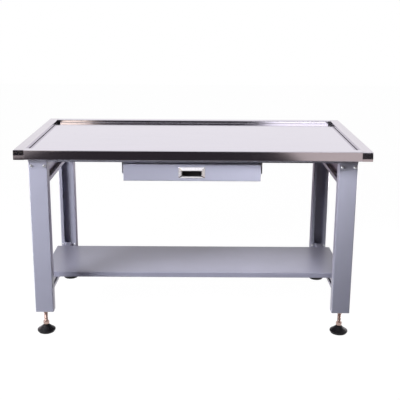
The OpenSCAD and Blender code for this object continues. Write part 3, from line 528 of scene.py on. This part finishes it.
# Legs
# Each leg is a channel folded from 2 mm sheet, 80 mm wide and 45 mm deep, with its flat web to
# the outside and two 16 mm lips that face the leg behind or in front of it.
CORNERS = [("front_left", -1, -1), ("front_right", 1, -1), ("rear_left", -1, 1), ("rear_right", 1, 1)]
LEG_LIP, LEG_LOW, LEG_HIGH = 0.016, 0.103, BEAM_LOW
PLATE_STEEL, PLATE_BEND = 0.002, 0.002


def channel_line(width, deep, lip, sheet):
    """Middle line of a channel with two lips, its web at the bottom."""
    w, d = (width - sheet) / 2, (deep - sheet) / 2
    return [(-width / 2 + lip, d), (-w, d), (-w, -d), (w, -d), (w, d), (width / 2 - lip, d)]


leg_outline = bent_outline(channel_line(LEG_W, LEG_D, LEG_LIP, PLATE_STEEL), PLATE_STEEL, PLATE_BEND)
for corner, sx, sy in CORNERS:
    middle = (sx * LEG_X, sy * LEG_Y)
    mesh = swept([(leg_outline, (1, 0, 0), (0, -sy, 0), (*middle, LEG_LOW), (*middle, LEG_HIGH))])
    finish_piece("leg_" + corner + "_channel", mesh, "table", frame_grey,
                 ["leg_" + corner], edge=0.0003)
dress(["leg_foot_plates"], frame_grey)


# Side rails
# Channels folded from 2 mm sheet, open towards the middle of the table. A 4 mm plate with round
# corners is welded across each end, with beads along the web and the lower flange, and bolted to
# the lips of the leg.
RAIL_W, RAIL_LIP, RAIL_PLATE = 0.028, 0.020, 0.004
PLATE_W, PLATE_ROUND, PLATE_EDGE = LEG_W - 0.004, 0.005, 0.0006
LIP_Y = LEG_Y - LEG_D / 2
RAIL_HALF = LIP_Y - RAIL_PLATE
UPPER_LOW, UPPER_HIGH, UPPER_PLATE_TOP = 0.6595, 0.8095, 0.7890
LOWER_LOW, LOWER_HIGH = 0.147, 0.203
BEAD_R, BEAD_STEP, BEAD_SIDES, BEAD_ABOVE, BEAD_CLEAR = 0.0022, 0.0024, 8, 0.008, 0.006
# The shares of its radius that a bead has between two drops and at its tips.
BEAD_HOLLOW, BEAD_TIP = 0.82, 0.45


def weld_bead(start, end):
    """A welded bead along an inner corner: a thin rod that swells at each drop of the weld."""
    start, end = Vector(start), Vector(end)
    along = (end - start).normalized()
    side = along.orthogonal().normalized()
    other = along.cross(side)
    rows = 2 * max(2, int((end - start).length / BEAD_STEP))
    rings = []
    for i in range(rows + 1):
        swell = 1.0 if i % 2 else BEAD_HOLLOW
        if i in (0, rows):
            swell = BEAD_TIP
        middle = start + (end - start) * i / rows
        angles = [2 * math.pi * k / BEAD_SIDES for k in range(BEAD_SIDES)]
        rings.append([middle + (side * math.cos(a) + other * math.sin(a)) * BEAD_R * swell for a in angles])
    return lofted(rings)


def side_rail(name, side, low, high, plate_top):
    """A rail with its end plates and weld beads, on the left or the right of the table."""
    line = channel_line(high - low, RAIL_W, RAIL_LIP, PLATE_STEEL)
    section = bent_outline(line, PLATE_STEEL, PLATE_BEND)
    x, z = side * LEG_X, (low + high) / 2
    pieces = [swept([(section, (0, 0, 1), (-side, 0, 0), (x, -RAIL_HALF, z), (x, RAIL_HALF, z))])]
    web_x, flange_z = LEG_X + RAIL_W / 2, low + PLATE_STEEL
    for end in (-1, 1):
        plate_y, plate_z = end * RAIL_HALF, (low + plate_top) / 2
        rings = []
        for out, inset in ((0.0, PLATE_EDGE), (PLATE_EDGE, 0.0), (RAIL_PLATE, 0.0)):
            outline = round_corners(PLATE_W - 2 * inset, plate_top - low - 2 * inset, PLATE_ROUND)
            rings.append([(x + px, end * (RAIL_HALF + out), plate_z + pz) for px, pz in outline])
        pieces.append(lofted(rings))
        for bead_x in (side * web_x, side * (web_x - PLATE_STEEL)):
            pieces.append(weld_bead((bead_x, plate_y, low + BEAD_ABOVE),
                                    (bead_x, plate_y, plate_top - BEAD_CLEAR)))
        pieces.append(weld_bead((side * (LEG_X - RAIL_W / 2 + BEAD_CLEAR), plate_y, flange_z),
                                (side * (web_x - BEAD_CLEAR), plate_y, flange_z)))
    finish_piece(name + "_welded", joined(pieces), "table", frame_grey, [name])


for side, word in ((-1, "left"), (1, "right")):
    side_rail("upper_side_rail_" + word, side, UPPER_LOW, UPPER_HIGH, UPPER_PLATE_TOP)
    side_rail("lower_side_rail_" + word, side, LOWER_LOW, LOWER_HIGH, LOWER_HIGH)


# Shelf
# A pan of 1.5 mm sheet, folded down at all four edges and in again below, with its corners
# welded and ground. It rests on the lower rails. Its coat is glossier from use.
SHELF_X, SHELF_Y, SHELF_TOP, SHELF_LOW = 0.697, 0.182, 0.228, LOWER_HIGH
SHELF_RETURN, SHELF_FOOT, SHELF_BEND = 0.015, 0.051, 0.003


def pan_ring(inset_x, inset_y, z, radius):
    """A level ring of the pan, inset from its ends and its sides."""
    wide, deep = 2 * (SHELF_X - inset_x), 2 * (SHELF_Y - inset_y)
    return [(x, y, z) for x, y in round_corners(wide, deep, radius, 3)]


# The shelf's coat is glossier, and its tones are a little darker than the frame's: painted shade for the
# shelf lying under the top.
shelf_gloss_and_shade = powder_coat("glossier_coat_with_painted_shade", "#A8A8B9", "#A2A2B3", 0.26, 0.34)
# The rows go from under the deck down to the returns, round them and up the outside to the deck.
bend = SHELF_BEND
shelf_rows = [
    (SHEET + bend, SHEET + bend, SHELF_TOP - SHEET, 0.003), (SHEET, SHEET, SHELF_TOP - SHEET - bend, 0.002),
    (SHEET, SHEET, SHELF_LOW + SHEET, 0.001), (SHELF_FOOT, SHELF_RETURN, SHELF_LOW + SHEET, 0.001),
    (SHELF_FOOT, SHELF_RETURN, SHELF_LOW, 0.001), (bend, bend, SHELF_LOW, 0.001),
    (bend * 0.3, bend * 0.3, SHELF_LOW + bend * 0.3, 0.002), (0, 0, SHELF_LOW + bend, 0.002)]
shelf_rows += [(bend * inwards, bend * inwards, SHELF_TOP - bend * down, 0.003)
               for inwards, down in ((0, 1), (0.08, 0.62), (0.3, 0.3), (0.62, 0.08), (1, 0))]
shelf_mesh = lofted([pan_ring(*row) for row in shelf_rows])
finish_piece("shelf_folded_pan", shelf_mesh, "table", shelf_gloss_and_shade, ["shelf_pan"])
dress(["shelf_stiffeners"], frame_grey)


# Drawer housing
# An inverted channel of 1.2 mm sheet, open at the front and rear, with its lower edges turned in.
# It hangs from the front beam, and at the rear from a hat section under the board.
DRAWER_X, DRAWER_Y = -0.005, -0.370
DRAWER_SHEET = 0.0012
HOUSING_W, HOUSING_LOW, HOUSING_LIP, HOUSING_BEND = 0.596, 0.741, 0.008, 0.001
HOUSING_FRONT, HOUSING_REAR = -0.350, 0.150

half_sheet = DRAWER_SHEET / 2
lip_x, wall_x = HOUSING_W / 2 - HOUSING_LIP, HOUSING_W / 2 - half_sheet
lip_z, roof_z = HOUSING_LOW + half_sheet, BEAM_LOW - half_sheet
housing_line = [(-lip_x, lip_z), (-wall_x, lip_z), (-wall_x, roof_z),
                (wall_x, roof_z), (wall_x, lip_z), (lip_x, lip_z)]
housing_mesh = swept([(bent_outline(housing_line, DRAWER_SHEET, HOUSING_BEND), (1, 0, 0), (0, 0, 1),
                       (DRAWER_X, HOUSING_FRONT, 0), (DRAWER_X, HOUSING_REAR, 0))])
finish_piece("drawer_housing_folded", housing_mesh, "table", frame_grey,
             ["drawer_housing"], edge=0.0002)
dress(["drawer_hanger"], frame_grey)


# Drawer box
# A folded tray of 1.2 mm sheet. The upper edges of its four sides are hemmed inwards, so that no
# raw edge meets the hand.
BOX_X, BOX_FRONT, BOX_REAR, BOX_LOW, BOX_HIGH = 0.2841, -0.352, 0.128, 0.717, 0.779


def box_ring(inset, z, radius):
    """A level ring of the box, inset from its outer faces."""
    wide, deep = 2 * (BOX_X - inset), BOX_REAR - BOX_FRONT - 2 * inset
    middle_y = (BOX_FRONT + BOX_REAR) / 2
    return [(DRAWER_X + x, middle_y + y, z) for x, y in round_corners(wide, deep, radius, 3)]


# The rows go from the bottom up the outside, over the hem and down the inside.
wall = DRAWER_SHEET
box_rows = [
    (0.0020, BOX_LOW, 0.0005), (0.0006, BOX_LOW + 0.0006, 0.001), (0.0, BOX_LOW + 0.0020, 0.0012),
    (0.0, BOX_HIGH - 0.0012, 0.0012), (0.0005, BOX_HIGH - 0.0002, 0.0012), (0.0012, BOX_HIGH, 0.0011),
    (0.0024, BOX_HIGH - 0.0002, 0.001), (0.0030, BOX_HIGH - 0.0012, 0.001),
    (0.0030, BOX_HIGH - 0.0075, 0.001), (wall, BOX_HIGH - 0.0080, 0.0008), (wall, BOX_LOW + 0.0030, 0.0008),
    (wall + 0.0005, BOX_LOW + wall + 0.0005, 0.0006), (wall + 0.0018, BOX_LOW + wall, 0.0005)]
box_mesh = lofted([box_ring(*row) for row in box_rows])
finish_piece("drawer_box_folded", box_mesh, "drawer", frame_grey, ["drawer_box"])


# Drawer front
# A face of 1.2 mm sheet, coated like the frame. Its edges are folded back 18 mm, and then in by
# 22 mm at the sides and 10 mm above and below. The hole behind the handle takes the handle's cup.
FRONT_W, FRONT_H, FRONT_T, FRONT_BEND = 0.582, 0.072, 0.018, 0.003
FRONT_RETURN_X, FRONT_RETURN_Z = 0.022, 0.010
FRONT_MID_Z = 0.7495
HANDLE_X, HANDLE_Z = -0.0065, 0.7475
HOLE_W, HOLE_H = 0.0862, 0.0292


def front_ring(half_x, half_z, back, radius, centre=(DRAWER_X, FRONT_MID_Z)):
    """An upright ring of the front, some way behind its face."""
    return [(centre[0] + x, DRAWER_Y + back, centre[1] + z)
            for x, z in round_corners(2 * half_x, 2 * half_z, radius, 4)]


# The rows go from the hole out over the face, round the edge, in along the returns and back.
front_x, front_z, bend, wall = FRONT_W / 2, FRONT_H / 2, FRONT_BEND, DRAWER_SHEET
hole = (HANDLE_X, HANDLE_Z)
front_rows = [(HOLE_W / 2, HOLE_H / 2, wall, 0.002, hole), (HOLE_W / 2, HOLE_H / 2, 0, 0.002, hole)]
front_rows += [(front_x - bend * inwards, front_z - bend * inwards, bend * back, 0.002)
               for inwards, back in ((1, 0), (0.62, 0.08), (0.29, 0.29), (0.08, 0.62), (0, 1))]
front_rows += [(front_x - bend * inwards, front_z - bend * inwards, FRONT_T - bend * before, 0.002)
               for inwards, before in ((0, 1), (0.29, 0.29), (1, 0))]
front_rows += [
    (front_x - FRONT_RETURN_X, front_z - FRONT_RETURN_Z, FRONT_T, 0.002),
    (front_x - FRONT_RETURN_X, front_z - FRONT_RETURN_Z, FRONT_T - wall, 0.002),
    (front_x - wall, front_z - wall, FRONT_T - wall, 0.001), (front_x - wall, front_z - wall, wall, 0.001)]
front_mesh = lofted([front_ring(*row) for row in front_rows], closed=True)
finish_piece("drawer_front_sheet", front_mesh, "drawer", frame_grey, ["drawer_front"])


# Handle
# A die-cast recessed pull, polished and chrome plated. Four broad faces slope up to a finger
# opening with round corners, and a cup behind it, near black as painted shade, reaches into the front.
BEZEL_W, BEZEL_H, BEZEL_OUT, BEZEL_UP = 0.112, 0.047, 0.007, 0.003
GRIP_W, GRIP_H, CUP_DEEP, CAST = 0.082, 0.021, 0.015, 0.002


def pull_ring(wide, high, out, radius, rise=0.0):
    """An upright ring of the pull, some way in front of the drawer's face."""
    return [(HANDLE_X + x, DRAWER_Y - out, HANDLE_Z + rise + z)
            for x, z in round_corners(wide, high, radius, 6)]


# The plate mirrors the room a little softly, and bends it where the polishing wheel left its waves.
polish_mm = 14.0
chrome = mottled("polished_chrome_plate", polish_mm, 0.20, 0.28,
                 {"Base Color": linear("#EBE9EE"), "Metallic": 1.0}, bump=(0.15, 0.0003))
# The rows go from behind the face out over the bezel's edge and slope to the rim of the opening.
cast_w, cast_h = GRIP_W + 2 * CAST, GRIP_H + 2 * CAST
handle_rows = [
    (GRIP_W - 0.001, GRIP_H - 0.001, -0.0020, 0.003), (cast_w, cast_h, -0.0020, 0.003),
    (cast_w, cast_h + 0.002, 0.0, 0.003), (BEZEL_W - 0.001, BEZEL_H - 0.001, 0.0, 0.003, BEZEL_UP),
    (BEZEL_W, BEZEL_H, 0.0004, 0.0035, BEZEL_UP), (BEZEL_W, BEZEL_H, 0.0010, 0.0035, BEZEL_UP),
    (BEZEL_W - 0.0014, BEZEL_H - 0.0014, 0.0017, 0.003, BEZEL_UP),
    (cast_w + 0.0016, cast_h + 0.0012, BEZEL_OUT - 0.0005, 0.0045, 0.0002),
    (cast_w, cast_h, BEZEL_OUT, 0.0042), (GRIP_W + 0.0012, GRIP_H + 0.0012, BEZEL_OUT, 0.0036),
    (GRIP_W, GRIP_H, BEZEL_OUT - 0.0006, 0.003)]
handle_mesh = lofted([pull_ring(*row) for row in handle_rows], closed=True)
finish_piece("handle_cast_pull", handle_mesh, "drawer", chrome, ["handle"])

# The cup is near black, painted shade for the deep recess, and matt with gloss patches 2 mm across.
cup_patch_mm = 2.0
cup_shade_paint = mottled("painted_shade_in_the_cup", cup_patch_mm, 0.5, 0.7,
                    {"Base Color": linear("#08070B"), "Specular IOR Level": 0.3})
cup_rows = [
    (cast_w, cast_h + 0.004, -CUP_DEEP, 0.003), (cast_w, cast_h + 0.004, -0.0005, 0.003),
    (cast_w - 0.0006, cast_h - 0.0006, BEZEL_OUT - 0.0012, 0.003),
    (GRIP_W + 0.0002, GRIP_H + 0.0002, BEZEL_OUT - 0.0014, 0.003), (GRIP_W, GRIP_H, 0.0, 0.003),
    (GRIP_W, GRIP_H + 0.004, -0.001, 0.003), (GRIP_W, GRIP_H + 0.004, CAST - CUP_DEEP, 0.003)]
cup_mesh = lofted([pull_ring(*row) for row in cup_rows])
finish_piece("handle_cup_painted_shade", cup_mesh, "drawer", cup_shade_paint)


# Bolts and nuts
# Zinc-plated steel bolts with domed heads and a hexagon socket, hexagon nuts, and plain screws and
# rivets: a cool grey with a soft cloudy sheen.
def plated_steel(name, pale, dark, low_rough, high_rough, spangle_mm):
    plated, tree = new_material(name)
    place = add_node(tree, "ShaderNodeTexCoord")
    cloud = add_node(tree, "ShaderNodeTexNoise", {"Scale": 1000 / spangle_mm, "Detail": 3.0},
                     Vector=place.outputs["Object"])
    tone = add_node(tree, "ShaderNodeValToRGB", {"stops": ((0.35, dark), (0.65, pale))},
                    Fac=cloud.outputs["Fac"])
    rough = add_node(tree, "ShaderNodeMapRange", {"To Min": low_rough, "To Max": high_rough},
                     i0=cloud.outputs["Fac"])
    bump = add_node(tree, "ShaderNodeBump", {"Strength": 0.1, "Distance": 0.0002},
                    Height=cloud.outputs["Fac"])
    shader = add_node(tree, "ShaderNodeBsdfPrincipled", {"Metallic": 1.0},
                      Base_Color=tone.outputs[0], Roughness=rough.outputs[0], Normal=bump.outputs[0])
    add_node(tree, "ShaderNodeOutputMaterial", Surface=shader.outputs[0])
    return plated


ROUND_STEPS, HEXAGON_STEPS = 24, 48


def circle(radius, height, steps=ROUND_STEPS):
    angles = [2 * math.pi * k / steps for k in range(steps)]
    return [(radius * math.cos(angle), radius * math.sin(angle), height) for angle in angles]


def hexagon_ring(flats, height, most, steps=HEXAGON_STEPS):
    """A hexagon, cut to a circle where its corners reach further than most."""
    ring = []
    for k in range(steps):
        angle = 2 * math.pi * k / steps
        to_flat = abs((angle + math.pi / 6) % (math.pi / 3) - math.pi / 6)
        reach = min(flats / 2 / math.cos(math.pi / 6 - to_flat), most)
        ring.append((reach * math.cos(angle), reach * math.sin(angle), height))
    return ring


def placed(rings, at, axis):
    """Rings drawn round +Z, moved so that they stand at a place and point along an axis."""
    turn = Vector(axis).to_track_quat("Z", "Y").to_matrix()
    return [[turn @ Vector(p) + Vector(at) for p in ring] for ring in rings]


ROWS_PER_TURN, THREAD_DEPTH = 4, 0.55


def thread_rings(radius, pitch, low, high):
    """Rings of a screw thread: the radius follows a triangle wave along the helix."""
    deep = pitch * THREAD_DEPTH
    rows = int((high - low) / pitch * ROWS_PER_TURN)
    rings = []
    for i in range(rows + 1):
        height = low + (high - low) * i / rows
        ring = []
        for k in range(ROUND_STEPS):
            phase = (height / pitch - k / ROUND_STEPS) % 1.0
            reach = radius - deep * abs(2 * phase - 1)
            reach = min(reach, radius - deep * (1 - min((high - height) / pitch, 1)))
            angle = 2 * math.pi * k / ROUND_STEPS
            ring.append((reach * math.cos(angle), reach * math.sin(angle), height))
        rings.append(ring)
    return rings


DOME_ROWS, THREAD_TURNS = 6, 5
# The flat top of a head and the width of its socket are shares of its radius, and the socket's
# depth is a share of its height.
DOME_TOP, SOCKET_WIDE, SOCKET_DEEP = 0.42, 0.72, 0.5


def dome_bolt(at, axis, radius, head_r, head_h, length, pitch):
    """A bolt with its head on a face and its shank in the face. The head has a hexagon socket."""
    dome_r = (head_r ** 2 + head_h ** 2) / (2 * head_h)
    top_angle, low_angle = math.asin(DOME_TOP * head_r / dome_r), math.asin(min(head_r / dome_r, 1.0))
    thread_low = -length + THREAD_TURNS * pitch
    # The thread is drawn upside down, so it stands in the head's side and not at the shank's end.
    thread = thread_rings(radius, pitch, -length, thread_low)
    rings = [[(x, y, -length - thread_low - z) for x, y, z in ring] for ring in reversed(thread)]
    rings += [circle(radius, thread_low + 0.0003), circle(radius, -0.0001), circle(head_r - 0.0002, 0.0)]
    for k in range(DOME_ROWS):
        angle = low_angle + (top_angle - low_angle) * k / (DOME_ROWS - 1)
        height = head_h - dome_r + dome_r * math.cos(angle)
        rings.append(circle(dome_r * math.sin(angle), max(height, 0.0004)))
    socket = head_r * SOCKET_WIDE
    rim = head_h - dome_r + dome_r * math.cos(top_angle)
    for height in (rim - 0.0002, rim - head_h * SOCKET_DEEP):
        rings.append(hexagon_ring(socket, height, 1, ROUND_STEPS))
    return lofted(placed(rings, at, axis))


# A nut's corners are cut by a share of its width, on a slope of six in ten.
NUT_CHAMFER, NUT_SLOPE = 0.06, 0.6


def hex_nut(at, axis, flats, tall, bore):
    """A hexagon nut with its corners turned off at both ends."""
    corner, cut = flats / math.sqrt(3), flats * NUT_CHAMFER
    slope = cut * NUT_SLOPE
    rings = [circle(bore, 0.0, HEXAGON_STEPS), hexagon_ring(flats, 0.0, corner - cut),
             hexagon_ring(flats, slope, corner), hexagon_ring(flats, tall - slope, corner),
             hexagon_ring(flats, tall, corner - cut), circle(bore, tall, HEXAGON_STEPS)]
    return lofted(placed(rings, at, axis), closed=True)


# Bolts by radius, head radius, head height, length and pitch, and nuts by flats, height and bore.
LEG_BOLT, LEG_NUT = (0.004, 0.007, 0.0045, 0.013, 0.00125), (0.013, 0.0065, 0.00395)
RAIL_BOLT, RAIL_NUT = (0.003, 0.0055, 0.0033, 0.013, 0.001), (0.010, 0.005, 0.00295)
SHELF_BOLT, SHELF_NUT = (0.003, 0.006, 0.003, 0.0105, 0.001), RAIL_NUT
HEAD_BOLT_Z, HEAD_PITCH, RAIL_PITCH, BOLT_EDGE, SHELF_BOLT_Y = 0.772, 0.054, 0.060, 0.0085, 0.12133
RAIL_BOLT_Z = (UPPER_LOW + BOLT_EDGE, UPPER_PLATE_TOP - BOLT_EDGE,
               LOWER_LOW + BOLT_EDGE, LOWER_HIGH - BOLT_EDGE)
FIXING_NODES = {"head_bolts_domed": "leg_head_bolts", "head_nuts_hexagon": "leg_head_nuts",
                "rail_bolts_domed": "side_rail_bolts", "rail_nuts_hexagon": "side_rail_nuts",
                "shelf_bolts_domed": "shelf_bolts", "shelf_nuts_hexagon": "shelf_nuts"}

zinc_plate = plated_steel("bright_zinc_plate", "#F2F3F6", "#DFE1E6", 0.40, 0.52, 6.0)
fixings = {name: [] for name in FIXING_NODES}
for corner, sx, sy in CORNERS:
    outer_y, inner_y = LEG_Y + LEG_D / 2 + TAB_T, LEG_Y + LEG_D / 2 - PLATE_STEEL
    for px in (-1, 1):
        x = sx * LEG_X + px * HEAD_PITCH / 2
        bolt = dome_bolt((x, sy * outer_y, HEAD_BOLT_Z), (0, sy, 0), *LEG_BOLT)
        nut = hex_nut((x, sy * inner_y, HEAD_BOLT_Z), (0, -sy, 0), *LEG_NUT)
        fixings["head_bolts_domed"].append(bolt)
        fixings["head_nuts_hexagon"].append(nut)
        x = sx * LEG_X + px * RAIL_PITCH / 2
        for z in RAIL_BOLT_Z:
            bolt = dome_bolt((x, sy * RAIL_HALF, z), (0, -sy, 0), *RAIL_BOLT)
            nut = hex_nut((x, sy * (LIP_Y + PLATE_STEEL), z), (0, sy, 0), *RAIL_NUT)
            fixings["rail_bolts_domed"].append(bolt)
            fixings["rail_nuts_hexagon"].append(nut)
    at = (sx * LEG_X, sy * SHELF_BOLT_Y)
    fixings["shelf_bolts_domed"].append(dome_bolt((*at, SHELF_LOW + SHEET), (0, 0, 1), *SHELF_BOLT))
    fixings["shelf_nuts_hexagon"].append(hex_nut((*at, SHELF_LOW - PLATE_STEEL), (0, 0, -1), *SHELF_NUT))
for name, node in FIXING_NODES.items():
    finish_piece(name, joined(fixings[name]), "table", zinc_plate, [node])
dress([name for name in nodes if name.endswith(("screws", "rivets"))], zinc_plate)


# Ball runners
# Three nested channels of galvanised strip on each side of the drawer, with ball cages between
# them. The outer one is riveted to the housing, the inner one to the drawer box.
# The strip is greyer than plated steel, with cloudy spangles about 9 mm across.
galvanised = plated_steel("galvanised_runner_steel", "#B4B6BA", "#96989C", 0.30, 0.45, 9.0)
RUNNER_Z, RUNNER_Y, RUNNER_LONG = 0.7655, -0.348, 0.476
RUNNER_SHEET, RUNNER_BEND = 0.0012, 0.0012
HOUSING_IN = HOUSING_W / 2 - DRAWER_SHEET
# Each member is its distance from the housing's wall, its height and its width.
OUTER, MIDDLE, INNER = (0.0, 0.0450, 0.0100), (0.0017, 0.0366, 0.0095), (0.0127, 0.0282, 0.0087)


def runner(name, side, body, member, flanges):
    """A member whose flanges point to the drawer (1) or to the housing (-1)."""
    from_wall, tall, wide = member
    half_tall, half_sheet = (tall - RUNNER_SHEET) / 2, RUNNER_SHEET / 2
    tip_x, web_x = -wide * flanges, -half_sheet * flanges
    line = [(tip_x, -half_tall), (web_x, -half_tall), (web_x, half_tall), (tip_x, half_tall)]
    outline = bent_outline(line, RUNNER_SHEET, RUNNER_BEND)
    x = DRAWER_X + side * (HOUSING_IN - from_wall)
    strip = swept([(outline, (side, 0, 0), (0, 0, 1),
                    (x, RUNNER_Y, RUNNER_Z), (x, RUNNER_Y + RUNNER_LONG, RUNNER_Z))])
    finish_piece(name + "_strip", strip, body, galvanised, [name], edge=0.0002)


for side, word in ((-1, "left"), (1, "right")):
    runner("runner_outer_" + word, side, "table", OUTER, 1)
    runner("runner_middle_" + word, side, "runner_" + word, MIDDLE, 1)
    runner("runner_inner_" + word, side, "drawer", INNER, -1)
dress(["runner_cages_left", "runner_cages_right"], zinc_plate)


# Foot studs
# One turned piece of yellow zinc-plated steel: a ball at the lower end, a neck, a hexagon for
# the spanner, and an M16 thread with a pitch of 2 mm. A nut is welded on the leg's foot plate,
# and a thin one locks the stud from below.
STUD_R, PITCH, STUD_TOP = 0.008, 0.002, 0.155
HEX_AF, HEX_LOW, HEX_TALL = 0.023, 0.038, 0.013
BALL_R, BALL_Z, NECK_R = 0.008, 0.024, 0.005
NUT_AF, WELD_NUT_TALL, LOCK_NUT_TALL, FOOT_PLATE = 0.024, 0.011, 0.008, 0.005
# Yellow zinc has a warm, brassy tone and is glossier than the bright kind.
foot_zinc = plated_steel("yellow_zinc_plate", "#CDB6AC", "#9C8078", 0.22, 0.38, 5.0)


def turned(profile, steps, centre):
    """A mesh turned round the vertical axis from (radius, height) pairs."""
    return lofted([[(centre[0] + x, centre[1] + y, z) for x, y, z in circle(radius, height, steps)]
                   for radius, height in profile])


neck_profile = [(BALL_R * math.sin(math.radians(a)), BALL_Z - BALL_R * math.cos(math.radians(a)))
                for a in range(12, 145, 12)]
neck_profile += [(NECK_R, BALL_Z + BALL_R * 0.80), (NECK_R, HEX_LOW - 0.001), (NECK_R + 0.002, HEX_LOW)]
thread_low = HEX_LOW + HEX_TALL
thread = [circle(STUD_R - 0.0012, thread_low - 0.0002)] + thread_rings(STUD_R, PITCH, thread_low, STUD_TOP)
weld_nuts, lock_nuts = [], []
for corner, sx, sy in CORNERS:
    centre = (sx * LEG_X, sy * LEG_Y)
    stud = joined([turned(neck_profile, 32, centre),
                   hex_nut((*centre, HEX_LOW), (0, 0, 1), HEX_AF, HEX_TALL, 0.0006),
                   lofted(placed(thread, (*centre, 0), (0, 0, 1)))])
    finish_piece("stud_" + corner + "_threaded", stud, "stud_" + corner, foot_zinc,
                 ["foot_stud_" + corner])
    weld_nuts.append(hex_nut((*centre, LEG_LOW + FOOT_PLATE), (0, 0, 1), NUT_AF, WELD_NUT_TALL, STUD_R))
    lock_nuts.append(hex_nut((*centre, LEG_LOW - LOCK_NUT_TALL), (0, 0, 1), NUT_AF, LOCK_NUT_TALL, STUD_R))
for name, nuts in (("foot_weld_nuts", weld_nuts), ("foot_lock_nuts", lock_nuts)):
    finish_piece(name + "_hexagon", joined(nuts), "table", foot_zinc, [name])


# Foot pads and soles
# The pad is moulded in black glass-filled nylon: a low cone with a soft rim, smooth and half
# gloss. A black rubber sole is pressed into its underside and grips the floor.
pad_profile = [
    (0.0335, 0.0046), (0.0372, 0.0052), (0.0392, 0.0066), (0.0400, 0.0085), (0.0400, 0.0110),
    (0.0394, 0.0128), (0.0376, 0.0142), (0.0340, 0.0162), (0.0290, 0.0200), (0.0240, 0.0242),
    (0.0190, 0.0284), (0.0150, 0.0318), (0.0134, 0.0334), (0.0122, 0.0340), (0.0090, 0.0340),
    (0.0078, 0.0334), (0.0070, 0.0322), (0.0070, 0.0290)]
# The socket goes round the stud's ball with a clearance, so that the pad can tilt.
SOCKET_R = BALL_R + 0.0005
pad_profile += [(SOCKET_R * math.sin(math.radians(a)), BALL_Z - SOCKET_R * math.cos(math.radians(a)))
                for a in range(120, 0, -10)]
sole_profile = [(0.0010, 0.0), (0.0300, 0.0), (0.0330, 0.0003), (0.0352, 0.0012), (0.0357, 0.0028),
                (0.0352, 0.0050), (0.0010, 0.0050)]
PAD_STEPS = 64

# Moulding leaves a fine grain on both, 1 mm on the nylon and 1.5 mm on the duller rubber.
nylon_mm, rubber_mm = 1.0, 1.5
black_nylon = mottled("black_glass_filled_nylon", nylon_mm, 0.36, 0.50,
                      {"Base Color": linear("#07060C"), "IOR": 1.5, "Specular IOR Level": 0.35},
                      bump=(0.3, 0.0001))
black_rubber = mottled("black_rubber", rubber_mm, 0.65, 0.80,
                       {"Base Color": linear("#08080A"), "IOR": 1.5, "Specular IOR Level": 0.30},
                       bump=(0.3, 0.0002))
for corner, sx, sy in CORNERS:
    centre = (sx * LEG_X, sy * LEG_Y)
    pad, sole = (turned(profile, PAD_STEPS, centre) for profile in (pad_profile, sole_profile))
    finish_piece("pad_" + corner + "_moulded", pad, "pad_" + corner, black_nylon,
                 ["foot_pad_" + corner])
    finish_piece("sole_" + corner + "_moulded", sole, "pad_" + corner, black_rubber,
                 ["foot_sole_" + corner])
